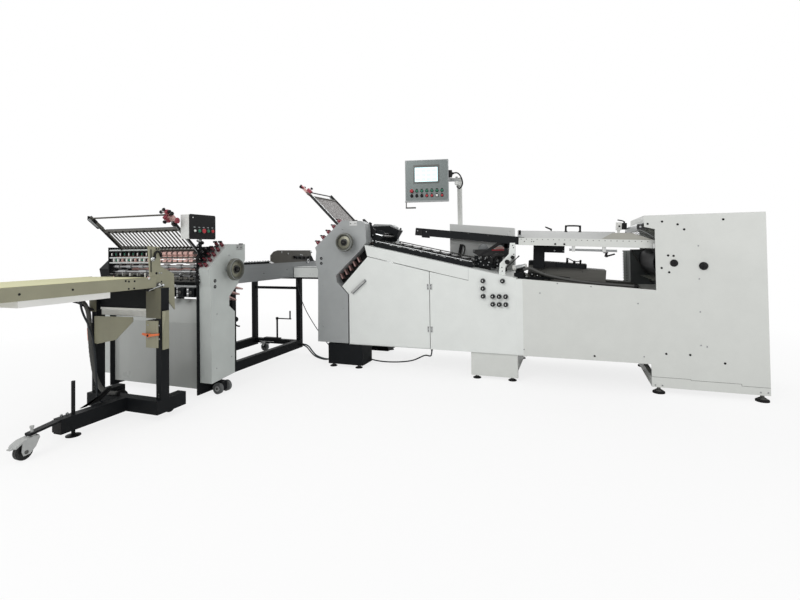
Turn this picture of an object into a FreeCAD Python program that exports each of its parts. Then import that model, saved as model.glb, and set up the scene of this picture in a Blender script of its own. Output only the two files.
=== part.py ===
"""Cross-fold paper folding line: feeder with turning drum, register table, first buckle
folding unit, transfer table, second folding unit turned by 90 degrees, and delivery.

Lengths are millimetres, angles are degrees. All pieces are laid out in line coordinates:
x = 0 at the joint of feeder and register housing, +X towards the feeder's tower,
y = 0 at the operator's side of the main line, +Y away from the operator, z = 0 at the floor.
Every node is then shifted so that the origin is at the bottom centre of the whole line.
"""
import FreeCAD, Part
import itertools
import math
import os
import Sketcher

Vector = FreeCAD.Vector
doc = FreeCAD.newDocument("paper_folding_line")
sizes_sheet = doc.addObject("Spreadsheet::Sheet", "Sizes")
sheet_rows = itertools.count(1)
nodes = {}


# ---------------------------------------------------------------- sizes and formulas

class Size:
    """A number that also carries the sheet formula it is worked out from."""

    def __init__(self, value, formula):
        self.value = float(value)
        self.formula = formula

    def __add__(self, other):
        other = as_size(other)
        return Size(self.value + other.value, f"({self.formula} + {other.formula})")

    def __sub__(self, other):
        other = as_size(other)
        return Size(self.value - other.value, f"({self.formula} - {other.formula})")

    def __mul__(self, other):
        other = as_size(other)
        return Size(self.value * other.value, f"{self.formula} * {other.formula}")

    def __truediv__(self, other):
        other = as_size(other)
        return Size(self.value / other.value, f"{self.formula} / ({other.formula})")

    def __neg__(self):
        return Size(-self.value, f"(0 - {self.formula})")

    def __radd__(self, other):
        return as_size(other) + self

    def __rsub__(self, other):
        return as_size(other) - self

    def __rmul__(self, other):
        return as_size(other) * self


def as_size(amount):
    return amount if isinstance(amount, Size) else Size(amount, repr(float(amount)))


def size(alias, value):
    """Write one driving dimension to the sheet and return it."""
    row = next(sheet_rows)
    sizes_sheet.set(f"A{row}", alias.replace("_", " "))
    sizes_sheet.set(f"B{row}", str(value))
    sizes_sheet.setAlias(f"B{row}", alias)
    return Size(value, f"Sizes.{alias}")


def sine(angle):
    angle = as_size(angle)
    return Size(math.sin(math.radians(angle.value)), f"sin({angle.formula})")


def cosine(angle):
    angle = as_size(angle)
    return Size(math.cos(math.radians(angle.value)), f"cos({angle.formula})")


def tangent(angle):
    angle = as_size(angle)
    return Size(math.tan(math.radians(angle.value)), f"tan({angle.formula})")


def bind(thing, name, amount):
    """Set a property from a plain number, or bind it to the sheet."""
    amount = as_size(amount)
    thing.setExpression(name, amount.formula)


# ---------------------------------------------------------------- driving dimensions

# Whole line
line_depth = size("line_depth", 1000)
sheet_metal = size("sheet_metal", 3)
frame_plate = size("frame_plate", 12)
running_gap = size("running_gap", 0.3)
shaft_clearance = size("shaft_clearance", 0.05)

# Feeder with turning drum
feeder_length = size("feeder_length", 1935)
tower_length = size("tower_length", 830)
tower_height = size("tower_height", 1500)
tower_nose = size("tower_nose", 32)
nose_bottom = size("nose_bottom", 1404)
lip_bottom = size("lip_bottom", 1436)
window_top = size("window_top", 1382)
window_setback = size("window_setback", 49)
side_inset = size("side_inset", 20)
side_bottom = size("side_bottom", 240)
side_rise_left = size("side_rise_left", 953)
side_rise_right = size("side_rise_right", 866)
tower_foot = size("tower_foot", 50)
plinth_height = size("plinth_height", 77)
tie_width = size("tie_width", 40)
drum_setback = size("drum_setback", 185)
drum_axis_height = size("drum_axis_height", 1094)
drum_radius = size("drum_radius", 150)
drum_wall = size("drum_wall", 6)
drum_shaft_radius = size("drum_shaft_radius", 20)
tape_count = 5
tape_width = size("tape_width", 34)
tape_thick = size("tape_thick", 2)
tape_angle = size("tape_angle", 55.8)
tape_run = size("tape_run", 377)
tape_roller_radius = size("tape_roller_radius", 29)
journal_radius = size("journal_radius", 8)

# Upper table of the feeder
upper_slope = size("upper_slope", 2.3)
upper_start = size("upper_start", 22)
upper_height = size("upper_height", 1335)
upper_overlap = size("upper_overlap", 62)
upper_rail_height = size("upper_rail_height", 70)
upper_near = size("upper_near", 100)
upper_width = size("upper_width", 736)
rail_plate = size("rail_plate", 8)
guard_height = size("guard_height", 88)
guard_length = size("guard_length", 980)
extension_slope = size("extension_slope", 6.3)
extension_overlap = size("extension_overlap", 48)
extension_lift = size("extension_lift", 3)
extension_length = size("extension_length", 1080)
extension_depth = size("extension_depth", 76)
extension_thick = size("extension_thick", 30)

# Lower table of the feeder
lower_drop = size("lower_drop", 28)
lower_plate = size("lower_plate", 6)
pile_board_start = size("pile_board_start", 75)
pile_board_length = size("pile_board_length", 711)
pile_board_height = size("pile_board_height", 148)
pile_block_length = size("pile_block_length", 538)
pile_block_height = size("pile_block_height", 43)

# Register housing and its table
housing_length = size("housing_length", 1722)
housing_bottom = size("housing_bottom", 250)
housing_rise_right = size("housing_rise_right", 956)
housing_slope = size("housing_slope", 12.17)
housing_reach = size("housing_reach", 1534)
band_height = size("band_height", 120)
band_end = size("band_end", 445)
door_hinge_x = size("door_hinge_x", 835)
door_gap = size("door_gap", 3)
hinge_radius = size("hinge_radius", 5)
hinge_length = size("hinge_length", 56)
hinge_low = size("hinge_low", 418)
hinge_high = size("hinge_high", 837)
door_throat_x = size("door_throat_x", 1803)
door_throat_height = size("door_throat_height", 856)
door_waist_height = size("door_waist_height", 770)
door_top_x = size("door_top_x", 1504)
door_top_height = size("door_top_height", 1168)
corner_strip = size("corner_strip", 55)
register_rail = size("register_rail", 45)
register_near = size("register_near", 100)
register_length = size("register_length", 1070)
knob_radius = size("knob_radius", 19)
knob_height = size("knob_height", 34)
suction_radius = size("suction_radius", 60)
suction_shaft_radius = size("suction_shaft_radius", 12)
suction_reach = size("suction_reach", 1220)
pedestal_length = size("pedestal_length", 435)
small_foot = size("small_foot", 28)
bracket_thick = size("bracket_thick", 10)
post_width = size("post_width", 50)
post_top = size("post_top", 2075)
blower_left_top = size("blower_left_top", 1525)
blower_right_top = size("blower_right_top", 1457)

# Folding units: outlines are given from the handwheel's axis, +u towards the infeed
cover_depth = size("cover_depth", 125)
cover_sheet = size("cover_sheet", 4)
shaft_radius = size("shaft_radius", 12)
fold_roller_radius = size("fold_roller_radius", 21)
handwheel_radius = size("handwheel_radius", 98)
handwheel_width = size("handwheel_width", 44)
handwheel_offset = size("handwheel_offset", 62)
pocket_root_u = size("pocket_root_u", -219)
pocket_far_inset = size("pocket_far_inset", 150)
pocket1_slope = size("pocket1_slope", 45)
pocket1_rise = size("pocket1_rise", 229)
pocket1_length = size("pocket1_length", 514)
pocket1_grille = size("pocket1_grille", 409)
pocket1_tail = size("pocket1_tail", 112)
pocket2_slope = size("pocket2_slope", 42.5)
pocket2_rise = size("pocket2_rise", 173)
pocket2_length = size("pocket2_length", 441)
pocket2_grille = size("pocket2_grille", 255)
pocket2_tail = size("pocket2_tail", 40)
slat_pitch = size("slat_pitch", 40)
slat_slot = size("slat_slot", 24)
unit1_gap = size("unit1_gap", 3)
unit1_axis = size("unit1_axis", 1319)
unit2_x = size("unit2_x", -2390)
unit2_y = size("unit2_y", -1050)
unit2_axis = size("unit2_axis", 1082)
unit2_width = size("unit2_width", 1281)
unit_base_length = size("unit_base_length", 402)
unit_base_left = size("unit_base_left", -255)
unit_base_top = size("unit_base_top", 245)
unit_base_depth = size("unit_base_depth", 240)
frame_foot = size("frame_foot", 252)

# Transfer table
transfer_right = size("transfer_right", -2590)
transfer_width = size("transfer_width", 700)
transfer_front = size("transfer_front", -815)
transfer_back = size("transfer_back", 900)
transfer_top = size("transfer_top", 1103)
transfer_rail = size("transfer_rail", 178)
tube_width = size("tube_width", 55)
beam_width = size("beam_width", 80)
beam_bottom = size("beam_bottom", 72)
beam_height = size("beam_height", 93)
cross_bottom = size("cross_bottom", 100)
crank_plate = size("crank_plate", 14)
transfer_leg_y = size("transfer_leg_y", 433)
transfer_front_leg_y = size("transfer_front_leg_y", -760)
transfer_wheel_radius = size("transfer_wheel_radius", 48)
unit2_wheel_radius = size("unit2_wheel_radius", 47)
unit2_wheel_u = size("unit2_wheel_u", -101)
unit2_wheel_v = size("unit2_wheel_v", 40)
crank_reach = size("crank_reach", 186)
crank_height = size("crank_height", 400)

# Delivery
delivery_right = size("delivery_right", -2433)
delivery_width = size("delivery_width", 686)
delivery_end = size("delivery_end", -3000)
delivery_start = size("delivery_start", -1778)
delivery_top = size("delivery_top", 1057)
delivery_beam = size("delivery_beam", 78)
belt_roller_radius = size("belt_roller_radius", 24)
belt_thick = size("belt_thick", 3)
stand_setback = size("stand_setback", 45)
stand_beam = size("stand_beam", 80)
stand_bottom = size("stand_bottom", 50)
stand_height = size("stand_height", 100)
stand_post_width = size("stand_post_width", 50)
stand_post_setback = size("stand_post_setback", 36)
stand_post_depth = size("stand_post_depth", 73)
stand_arm_end = size("stand_arm_end", -2300)
stand_wheel_radius = size("stand_wheel_radius", 60)
axle_plate = size("axle_plate", 8)
castor_radius = size("castor_radius", 50)
castor_trail = size("castor_trail", 50)
castor_stem_y = size("castor_stem_y", -2497)
castor_offset = size("castor_offset", 70)
jack_radius = size("jack_radius", 12)

# Control panel
panel_width = size("panel_width", 500)
panel_height = size("panel_height", 476)
panel_depth = size("panel_depth", 85)
panel_middle = size("panel_middle", 2026)
panel_turn = size("panel_turn", 12)
stop_stem = size("stop_stem", 9)

# The furthest faces of the line set the origin.
line_left = unit2_x - unit2_width
line_right = feeder_length
line_front = delivery_end
line_back = line_depth + post_width
shift_x = -((line_left + line_right) / 2)
shift_y = -((line_front + line_back) / 2)

# Places used by several pieces
tower_left = feeder_length - tower_length
upper_length = tower_left + upper_overlap - upper_start
plinth_top = tower_foot + plinth_height
near_inside = side_inset + frame_plate
far_inside = line_depth - side_inset - frame_plate
inside_depth = far_inside - near_inside
window_right = tower_left + window_setback
drum_x = tower_left + drum_setback
housing_top_left = housing_rise_right + housing_reach * tangent(housing_slope)
hinge_y = -(hinge_radius + sheet_metal)
unit1_x = -(housing_length + unit1_gap)
stand_front = delivery_start - stand_setback


def housing_top(x):
    """Height of the register housing's sloping top at x."""
    return housing_rise_right - as_size(x) * tangent(housing_slope)


# ---------------------------------------------------------------- modelling helpers

def place(thing, corner, axis=None, angle=0):
    """Put an object at a corner and turn it about an axis; its base is bound to the sheet."""
    angle = as_size(angle)
    if axis is not None:
        turn = FreeCAD.Rotation(Vector(*axis), angle.value)
        thing.Placement = FreeCAD.Placement(Vector(0, 0, 0), turn)
        if "Sizes." in angle.formula:
            thing.setExpression("Placement.Rotation.Angle", angle.formula)
    for letter, amount in zip("xyz", corner):
        bind(thing, f"Placement.Base.{letter}", amount)
    return thing


def box(name, corner, extent):
    thing = doc.addObject("Part::Box", name)
    for side, amount in zip(("Length", "Width", "Height"), extent):
        bind(thing, side, amount)
    return place(thing, corner)


AXIS_TURNS = {"x": ((0, 1, 0), 90), "y": ((1, 0, 0), -90), "z": (None, 0)}


def cylinder(name, start, axis, radius, length):
    """A cylinder from start along +x, +y or +z."""
    thing = doc.addObject("Part::Cylinder", name)
    bind(thing, "Radius", radius)
    bind(thing, "Height", length)
    turn_axis, angle = AXIS_TURNS[axis]
    return place(thing, start, turn_axis, angle)


def draw_polygon(sketch, points):
    """Close a polygon through points and pin every corner to the sheet."""
    first = sketch.GeometryCount
    count = len(points)
    corners = [(as_size(a), as_size(b)) for a, b in points]
    for index, (a, b) in enumerate(corners):
        c, d = corners[(index + 1) % count]
        line = Part.LineSegment(Vector(a.value, b.value, 0), Vector(c.value, d.value, 0))
        sketch.addGeometry(line, False)
    for index in range(count):
        following = first + (index + 1) % count
        sketch.addConstraint(Sketcher.Constraint("Coincident", first + index, 2, following, 1))
    for index, (a, b) in enumerate(corners):
        for kind, amount in (("DistanceX", a), ("DistanceY", b)):
            rule = Sketcher.Constraint(kind, -1, 1, first + index, 1, amount.value)
            name = f"{kind}_{first + index}"
            sketch.renameConstraint(sketch.addConstraint(rule), name)
            sketch.setExpression(f"Constraints.{name}", amount.formula)


def draw_circle(sketch, centre, radius):
    a, b = (as_size(amount) for amount in centre)
    radius = as_size(radius)
    index = sketch.GeometryCount
    sketch.addGeometry(Part.Circle(Vector(a.value, b.value, 0), Vector(0, 0, 1), radius.value), False)
    for kind, amount in (("DistanceX", a), ("DistanceY", b)):
        rule = Sketcher.Constraint(kind, -1, 1, index, 3, amount.value)
        name = f"{kind}_{index}"
        sketch.renameConstraint(sketch.addConstraint(rule), name)
        sketch.setExpression(f"Constraints.{name}", amount.formula)
    rule = Sketcher.Constraint("Radius", index, radius.value)
    sketch.renameConstraint(sketch.addConstraint(rule), f"Radius_{index}")
    sketch.setExpression(f"Constraints.Radius_{index}", radius.formula)


def body_sketch(body, plane, name):
    sketch = body.newObject("Sketcher::SketchObject", name)
    origin_plane = [item for item in body.Origin.OriginFeatures if item.Role == plane][0]
    sketch.AttachmentSupport = [(origin_plane, "")]
    sketch.MapMode = "FlatFace"
    return sketch


# A pad grows along +Y from the XZ plane only when it is reversed.
PLANES = {"XZ": ("XZ_Plane", True, 1), "YZ": ("YZ_Plane", False, 0), "XY": ("XY_Plane", False, 2)}


def plate(name, plane, points, start, thickness, holes=()):
    """A padded outline. start is where it begins along the axis that the plane lacks."""
    role, is_reversed, axis = PLANES[plane]
    body = doc.addObject("PartDesign::Body", name)
    sketch = body_sketch(body, role, f"{name}_outline")
    draw_polygon(sketch, points)
    for centre, radius in holes:
        draw_circle(sketch, centre, radius)
    pad = body.newObject("PartDesign::Pad", f"{name}_pad")
    pad.Profile = sketch
    pad.Reversed = is_reversed
    bind(pad, "Length", thickness)
    body.Tip = pad
    corner = [0, 0, 0]
    corner[axis] = start
    return place(body, corner)


def turned(name, profile, centre, axis):
    """A revolved profile of (radius, distance) points, with its axis along +x, +y or +z."""
    body = doc.addObject("PartDesign::Body", name)
    sketch = body_sketch(body, "XZ_Plane", f"{name}_profile")
    draw_polygon(sketch, profile)
    revolution = body.newObject("PartDesign::Revolution", f"{name}_turn")
    revolution.Profile = sketch
    revolution.ReferenceAxis = (sketch, ["V_Axis"])
    revolution.Angle = 360
    body.Tip = revolution
    turn_axis, angle = AXIS_TURNS[axis]
    return place(body, centre, turn_axis, angle)


def cut(name, base, tool):
    thing = doc.addObject("Part::Cut", name)
    thing.Base = base
    thing.Tool = tool
    return thing


def fuse(name, parts):
    thing = doc.addObject("Part::MultiFuse", name)
    thing.Shapes = parts
    return thing


def group(name, parts, corner=(0, 0, 0), axis=None, angle=0):
    thing = doc.addObject("Part::Compound", name)
    thing.Links = parts
    return place(thing, corner, axis, angle)


def node(label, parts, corner=(0, 0, 0), axis=None, angle=0):
    """One named sub-part of the line, shifted from line coordinates to the model's origin."""
    x, y, z = corner
    thing = group(label, parts, (shift_x + x, shift_y + y, z), axis, angle)
    thing.Label = label
    nodes[label] = thing
    return thing


def shell(name, points, start, depth, wall):
    """A sheet-metal cover: an outline in XZ, hollow inside and closed on every side."""
    outer = plate(f"{name}_outer", "XZ", points, start, depth)
    outline = doc.addObject("Sketcher::SketchObject", f"{name}_inner_outline")
    draw_polygon(outline, points)
    inset = doc.addObject("Part::Offset2D", f"{name}_inset")
    inset.Source = outline
    inset.Join = "Intersection"
    bind(inset, "Value", -wall)
    hollow = doc.addObject("Part::Extrusion", f"{name}_hollow")
    hollow.Base = inset
    hollow.DirMode = "Normal"
    hollow.Solid = True
    bind(hollow, "LengthFwd", as_size(depth) - 2 * wall)
    place(hollow, (0, as_size(start) + depth - wall, 0), (1, 0, 0), 90)
    return cut(name, outer, hollow)


# ---------------------------------------------------------------- feeder

def feeder_side_outline():
    return [
        (0, side_bottom),
        (tower_left, side_bottom),
        (tower_left, plinth_top),
        (feeder_length, plinth_top),
        (feeder_length, tower_height),
        (tower_left - tower_nose, tower_height),
        (tower_left - tower_nose, nose_bottom),
        (window_right, window_top),
        (window_right, side_rise_right),
        (0, side_rise_left),
    ]


def feeder_sides():
    bearing = ((drum_x, drum_axis_height), drum_shaft_radius + shaft_clearance)
    near = plate("feeder_near_plate", "XZ", feeder_side_outline(), side_inset, frame_plate, [bearing])
    far = plate("feeder_far_plate", "XZ", feeder_side_outline(), far_inside, frame_plate, [bearing])
    node("feeder_sides", [near, far])


def tower_cover():
    left = tower_left - tower_nose
    right = feeder_length
    top = tower_height
    outline = [
        (left, lip_bottom),
        (left, top),
        (right, top),
        (right, plinth_top),
        (right - sheet_metal, plinth_top),
        (right - sheet_metal, top - sheet_metal),
        (left + sheet_metal, top - sheet_metal),
        (left + sheet_metal, lip_bottom),
    ]
    node("tower_cover", [plate("tower_cover_sheet", "XZ", outline, near_inside, inside_depth)])


def base_pedestals():
    tower_base = cut(
        "tower_plinth",
        box("tower_plinth_block", (tower_left, side_inset, tower_foot),
            (tower_length, line_depth - 2 * side_inset, plinth_height)),
        box("tower_plinth_hollow", (tower_left + tie_width, side_inset + tie_width, tower_foot - 1),
            (tower_length - 2 * tie_width, line_depth - 2 * side_inset - 2 * tie_width,
             plinth_height + 2)),
    )
    rail_height = 60
    skirt_bottom = small_foot + rail_height
    skirt = shell(
        "pedestal_skirt",
        [(-pedestal_length, skirt_bottom), (0, skirt_bottom), (0, housing_bottom),
         (-pedestal_length, housing_bottom)],
        side_inset, line_depth - 2 * side_inset, sheet_metal)
    rails = []
    for name, y in (("near", side_inset), ("far", line_depth - side_inset - tie_width)):
        rails.append(box(f"pedestal_rail_{name}", (-pedestal_length, y, small_foot),
                         (pedestal_length, tie_width, rail_height)))
    node("base_pedestals", [tower_base, skirt] + rails)


def levelling_foot(name, x, y, height, radius):
    """A fat rubber cone under a short stem; its top meets the base it carries."""
    stem = 14
    profile = [(0, 0), (radius, 0), (radius, height * 0.25), (stem, height * 0.7), (stem, height),
               (0, height)]
    return turned(name, profile, (x, y, 0), "z")


def levelling_feet():
    inset = 52
    large = 48
    small = 38
    near = side_inset + tie_width / 2
    far = line_depth - side_inset - tie_width / 2
    feet = []
    for x in (tower_left + inset, feeder_length - inset):
        for y in (near, far):
            feet.append(levelling_foot(f"foot_{len(feet)}", x, y, tower_foot, large))
    for x in (-pedestal_length + inset, -as_size(inset)):
        for y in (near, far):
            feet.append(levelling_foot(f"foot_{len(feet)}", x, y, small_foot, small))
    base_left = unit1_x + unit_base_left
    for x in (base_left + inset, base_left + unit_base_length - inset):
        for y in (near, far):
            feet.append(levelling_foot(f"foot_{len(feet)}", x, y, small_foot, small))
    node("levelling_feet", feet)


def feeder_chassis():
    """Tubes between the side plates, the far wall of the window and the tape roller's brackets."""
    places = [
        (window_right * 0.12, 300), (window_right * 0.49, 640), (window_right * 0.86, 300),
        (tower_left + 395, 220), (tower_left + 495, 1400), (tower_left + 675, 700),
    ]
    ties = []
    for index, (x, z) in enumerate(places):
        ties.append(box(f"side_tie_{index}", (x, near_inside, z), (tie_width, inside_depth, tie_width)))
    wall_left = tower_left - 43
    wall_bottom = side_rise_right - 21
    wall_right = wall_left + 378
    wall_top = wall_bottom + 360
    liner = 5
    wall = [(wall_left, wall_bottom), (wall_right, wall_bottom), (wall_right, wall_top),
            (wall_left, wall_top)]
    shaft_hole = ((drum_x, drum_axis_height), drum_shaft_radius + shaft_clearance)
    ties.append(plate("window_wall", "XZ", wall, far_inside - liner, liner, [shaft_hole]))
    ties.append(plate("toothed_strip", "XZ", toothed_outline(wall_left, wall_bottom + 14), far_inside - liner,
                      liner))
    brackets = []
    roller_x, roller_z = tape_roller_centre()
    for name, y in (("near", near_inside), ("far", far_inside - rail_plate)):
        outline = [
            (roller_x - 26, roller_z - 26),
            (roller_x + 26, roller_z - 26),
            (tower_left + 60, roller_z - 10),
            (tower_left + 60, roller_z + 22),
            (roller_x - 26, roller_z + 22),
        ]
        bore = [((roller_x, roller_z), journal_radius + shaft_clearance)]
        brackets.append(plate(f"tape_bracket_{name}", "XZ", outline, y, rail_plate, bore))
    node("feeder_chassis", ties + brackets)


def toothed_outline(right, bottom):
    """An upright strip whose left edge is cut into square teeth."""
    left = right - 72
    tooth = 8
    pitch = 28
    points = [(right, bottom), (right, bottom + 12 * pitch), (left, bottom + 12 * pitch)]
    for index in reversed(range(12)):
        low = bottom + index * pitch
        points += [(left, low + pitch / 2), (left + tooth, low + pitch / 2), (left + tooth, low)]
        if index:
            points.append((left, low))
    return points


def turning_drum():
    """Hollow drum with a centre web on a shaft that runs in both side plates."""
    depth = line_depth - 2 * side_inset
    start = frame_plate + 30
    end = depth - start
    web = depth / 2
    wall_inner = drum_radius - drum_wall
    profile = [
        (0, 0), (drum_shaft_radius, 0), (drum_shaft_radius, web - 6), (wall_inner, web - 6),
        (wall_inner, start), (drum_radius, start), (drum_radius, end), (wall_inner, end),
        (wall_inner, web + 6), (drum_shaft_radius, web + 6), (drum_shaft_radius, depth), (0, depth),
    ]
    node("turning_drum", [turned("drum_body", profile, (drum_x, side_inset, drum_axis_height), "y")])


def tape_tangent(radius):
    """Point where the straight run leaves a circle of this radius about the drum's axis."""
    return (drum_x + radius * cosine(tape_angle), drum_axis_height + radius * sine(tape_angle))


def tape_roller_centre():
    x, z = tape_tangent(drum_radius + running_gap - tape_roller_radius - running_gap)
    return (x - tape_run * sine(tape_angle), z + tape_run * cosine(tape_angle))


def drum_tapes():
    """Guide tapes: over the roller, straight down to the drum and half round it."""
    inner_radius = drum_radius + running_gap
    outer_radius = inner_radius + tape_thick
    bottom_run = 150
    first = near_inside + 110
    pitch = (inside_depth - 220 - tape_width) / (tape_count - 1)
    tapes = []
    for index in range(tape_count):
        y = first + index * pitch
        name = f"tape_{index}"
        arcs = []
        for kind, radius in (("outer", outer_radius), ("inner", inner_radius)):
            arc = doc.addObject("Part::Cylinder", f"{name}_{kind}")
            bind(arc, "Radius", radius)
            bind(arc, "Height", tape_width)
            bind(arc, "Angle", 90 + tape_angle)
            # The sector starts at the drum's bottom and turns towards +X.
            arcs.append(place(arc, (0, 0, 0), (0, 0, 1), -90))
        bend = cut(f"{name}_bend", arcs[0], arcs[1])
        place(bend, (drum_x, y + tape_width, drum_axis_height), (1, 0, 0), 90)
        run = doc.addObject("Part::Box", f"{name}_run")
        bind(run, "Length", tape_run)
        bind(run, "Width", tape_width)
        bind(run, "Height", tape_thick)
        x, z = tape_tangent(inner_radius)
        place(run, (x - tape_run * sine(tape_angle), y, z + tape_run * cosine(tape_angle)),
              (0, 1, 0), 90 - tape_angle)
        tail = box(f"{name}_tail", (drum_x - bottom_run, y, drum_axis_height - outer_radius),
                   (bottom_run, tape_width, tape_thick))
        tapes.append(fuse(name, [bend, run, tail]))
    node("drum_tapes", tapes)


def tape_roller():
    x, z = tape_roller_centre()
    start = rail_plate + 2
    end = inside_depth - start
    profile = [
        (0, 0), (journal_radius, 0), (journal_radius, start), (tape_roller_radius, start),
        (tape_roller_radius, end), (journal_radius, end), (journal_radius, inside_depth),
        (0, inside_depth),
    ]
    node("tape_roller", [turned("tape_roller_body", profile, (x, near_inside, z), "y")])


def upper_table():
    """Sloping feed table over the window, with its guards, handle, sensor box and stops."""
    far = upper_near + upper_width
    rail_top = 0
    parts = []
    for name, y in (("near", upper_near), ("far", far - rail_plate)):
        parts.append(box(f"upper_rail_{name}", (0, y, rail_top - upper_rail_height),
                         (upper_length, rail_plate, upper_rail_height)))
    inner = upper_near + rail_plate
    inner_width = upper_width - 2 * rail_plate
    plate_top = -18
    plate_bottom = plate_top - 4
    plate_start = extension_overlap + 8
    parts.append(box("upper_table_plate", (plate_start, inner, plate_bottom),
                     (upper_length - 10 - plate_start, inner_width, 4)))
    for index, share in enumerate((0.105, 0.49, 0.87)):
        parts.append(box(f"upper_cross_{index}", (upper_length * share, inner, plate_bottom - tie_width),
                         (30, inner_width, tie_width)))
    block = 24
    spacers = (("near", near_inside, upper_near - near_inside), ("far", far, far_inside - far))
    for name, y, width in spacers:
        parts.append(box(f"upper_spacer_{name}", (upper_length - block, y, -upper_rail_height),
                         (block, width, tie_width)))
    guard_left = -90
    guard = [(guard_left, -14), (guard_left + guard_length, -14), (guard_left + guard_length, guard_height),
             (guard_left, guard_height)]
    parts.append(plate("far_guard", "XZ", guard, far, sheet_metal))
    near_guard = [(724, -14), (724, 4), (808, 57), (955, 62), (1130, 4), (1130, -14)]
    parts.append(plate("near_guard", "XZ", near_guard, inner, sheet_metal))
    parts.append(grab_handle(406, far + sheet_metal / 2, guard_height))
    sensor_y = far - rail_plate - 60
    parts.append(box("sensor_box", (891, sensor_y, 105), (52, 60, 78)))
    parts.append(box("sensor_foot", (905, sensor_y + 8, plate_top), (24, 44, 105 - plate_top)))
    parts.append(box("sensor_clamp", (943, sensor_y + 6, 112), (48, 48, 66)))
    parts += under_rail_pieces(inner)
    parts += hold_down_pieces()
    node("upper_table", parts, (upper_start, 0, upper_height), (0, 1, 0), upper_slope)


def grab_handle(x, y, z):
    """A bent round bar standing on the guard's top edge."""
    radius = 6
    span = 150
    rise = 58
    pieces = []
    for index, foot in enumerate((x, x + span)):
        pieces.append(cylinder(f"grab_leg_{index}", (foot, y, z), "z", radius, rise))
        ball = doc.addObject("Part::Sphere", f"grab_bend_{index}")
        bind(ball, "Radius", radius)
        pieces.append(place(ball, (foot, y, z + rise)))
    pieces.append(cylinder("grab_bar", (x, y, z + rise), "x", radius, span))
    return fuse("grab_handle", pieces)


def under_rail_pieces(inner):
    """A round guide bar under the near rail on two hangers, with its clamp lever."""
    start = 452
    length = 398
    drop = 102
    pieces = [cylinder("guide_bar", (start, inner + 24, -drop), "x", 10, length)]
    for x in (start + 20, start + length - 120):
        hanger = plate(f"guide_hanger_{x}", "XZ",
                       [(x, -drop - 16), (x + 30, -drop - 16), (x + 30, -upper_rail_height + 36),
                        (x, -upper_rail_height + 36)],
                       inner, 40, [])
        pieces.append(cut(f"guide_hanger_bored_{x}", hanger,
                          cylinder(f"guide_hanger_bore_{x}", (x - 1, inner + 24, -drop), "x", 10.05, 32)))
    lever = plate("guide_lever", "XZ",
                  [(748, -drop - 52), (762, -drop - 60), (836, -drop - 34), (832, -drop - 22),
                   (774, -drop - 40), (774, -drop - 16), (758, -drop - 16)],
                  inner + 16, 12)
    pieces.append(lever)
    return pieces


def hold_down_pieces():
    """Bracket, post and arm that carry the sheet hold-down over the lower table."""
    left = 122
    y = 292
    top = -22 - tie_width
    bracket = 74
    post = 156
    arm_top = -237
    return [
        box("hold_down_bracket", (left, y, top - bracket), (286, 56, bracket)),
        box("hold_down_post", (left, y + 3, top - bracket - post), (104, 50, post)),
        box("hold_down_arm", (left + 104, y + 13, arm_top - 39), (364, 30, 39)),
    ]


def extension_rails():
    """Dark infeed extension: two rails, cross bars and four narrow runners."""
    parts = []
    near = upper_near + rail_plate
    far = upper_near + upper_width - rail_plate
    run = far - near - 2 * extension_thick
    for name, y in (("near", near), ("far", far - extension_thick)):
        parts.append(box(f"extension_rail_{name}", (-extension_length, y, -extension_depth),
                         (extension_length, extension_thick, extension_depth)))
    for x in (40, 420, 800):
        parts.append(box(f"extension_cross_{x}", (x - extension_length, near + extension_thick, -48),
                         (26, run, 26)))
    pitch = run / 4
    for index in range(4):
        y = near + extension_thick + (index + 0.5) * pitch - 20
        parts.append(box(f"extension_runner_{index}", (20 - extension_length, y, -22),
                         (extension_length - 160, 40, 16)))
    node("extension_rails", parts, (upper_start + extension_overlap, 0, upper_height + extension_lift),
         (0, 1, 0), extension_slope)


def lower_table():
    """Return table between the side plates, with its rails and the stepped pile boards."""
    fall = (side_rise_left - side_rise_right) / window_right
    slope = Size(math.degrees(math.atan(fall.value)), f"atan({fall.formula})")
    length = window_right - 60
    parts = [box("return_plate", (20, near_inside, -lower_drop - lower_plate),
                 (length, inside_depth, lower_plate))]
    for index, y in enumerate((near_inside + 20, near_inside + 70, far_inside - 90)):
        parts.append(box(f"return_rail_{index}", (30, y, -lower_drop), (length - 40, 22, 22)))
    parts.append(box("pile_board", (pile_board_start, 360, -lower_drop),
                     (pile_board_length, 300, pile_board_height)))
    parts.append(box("pile_block", (pile_board_start, 360, pile_board_height - lower_drop),
                     (pile_block_length, 260, pile_block_height)))
    node("lower_table", parts, (0, 0, side_rise_left), (0, 1, 0), slope)


# ---------------------------------------------------------------- register housing

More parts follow.
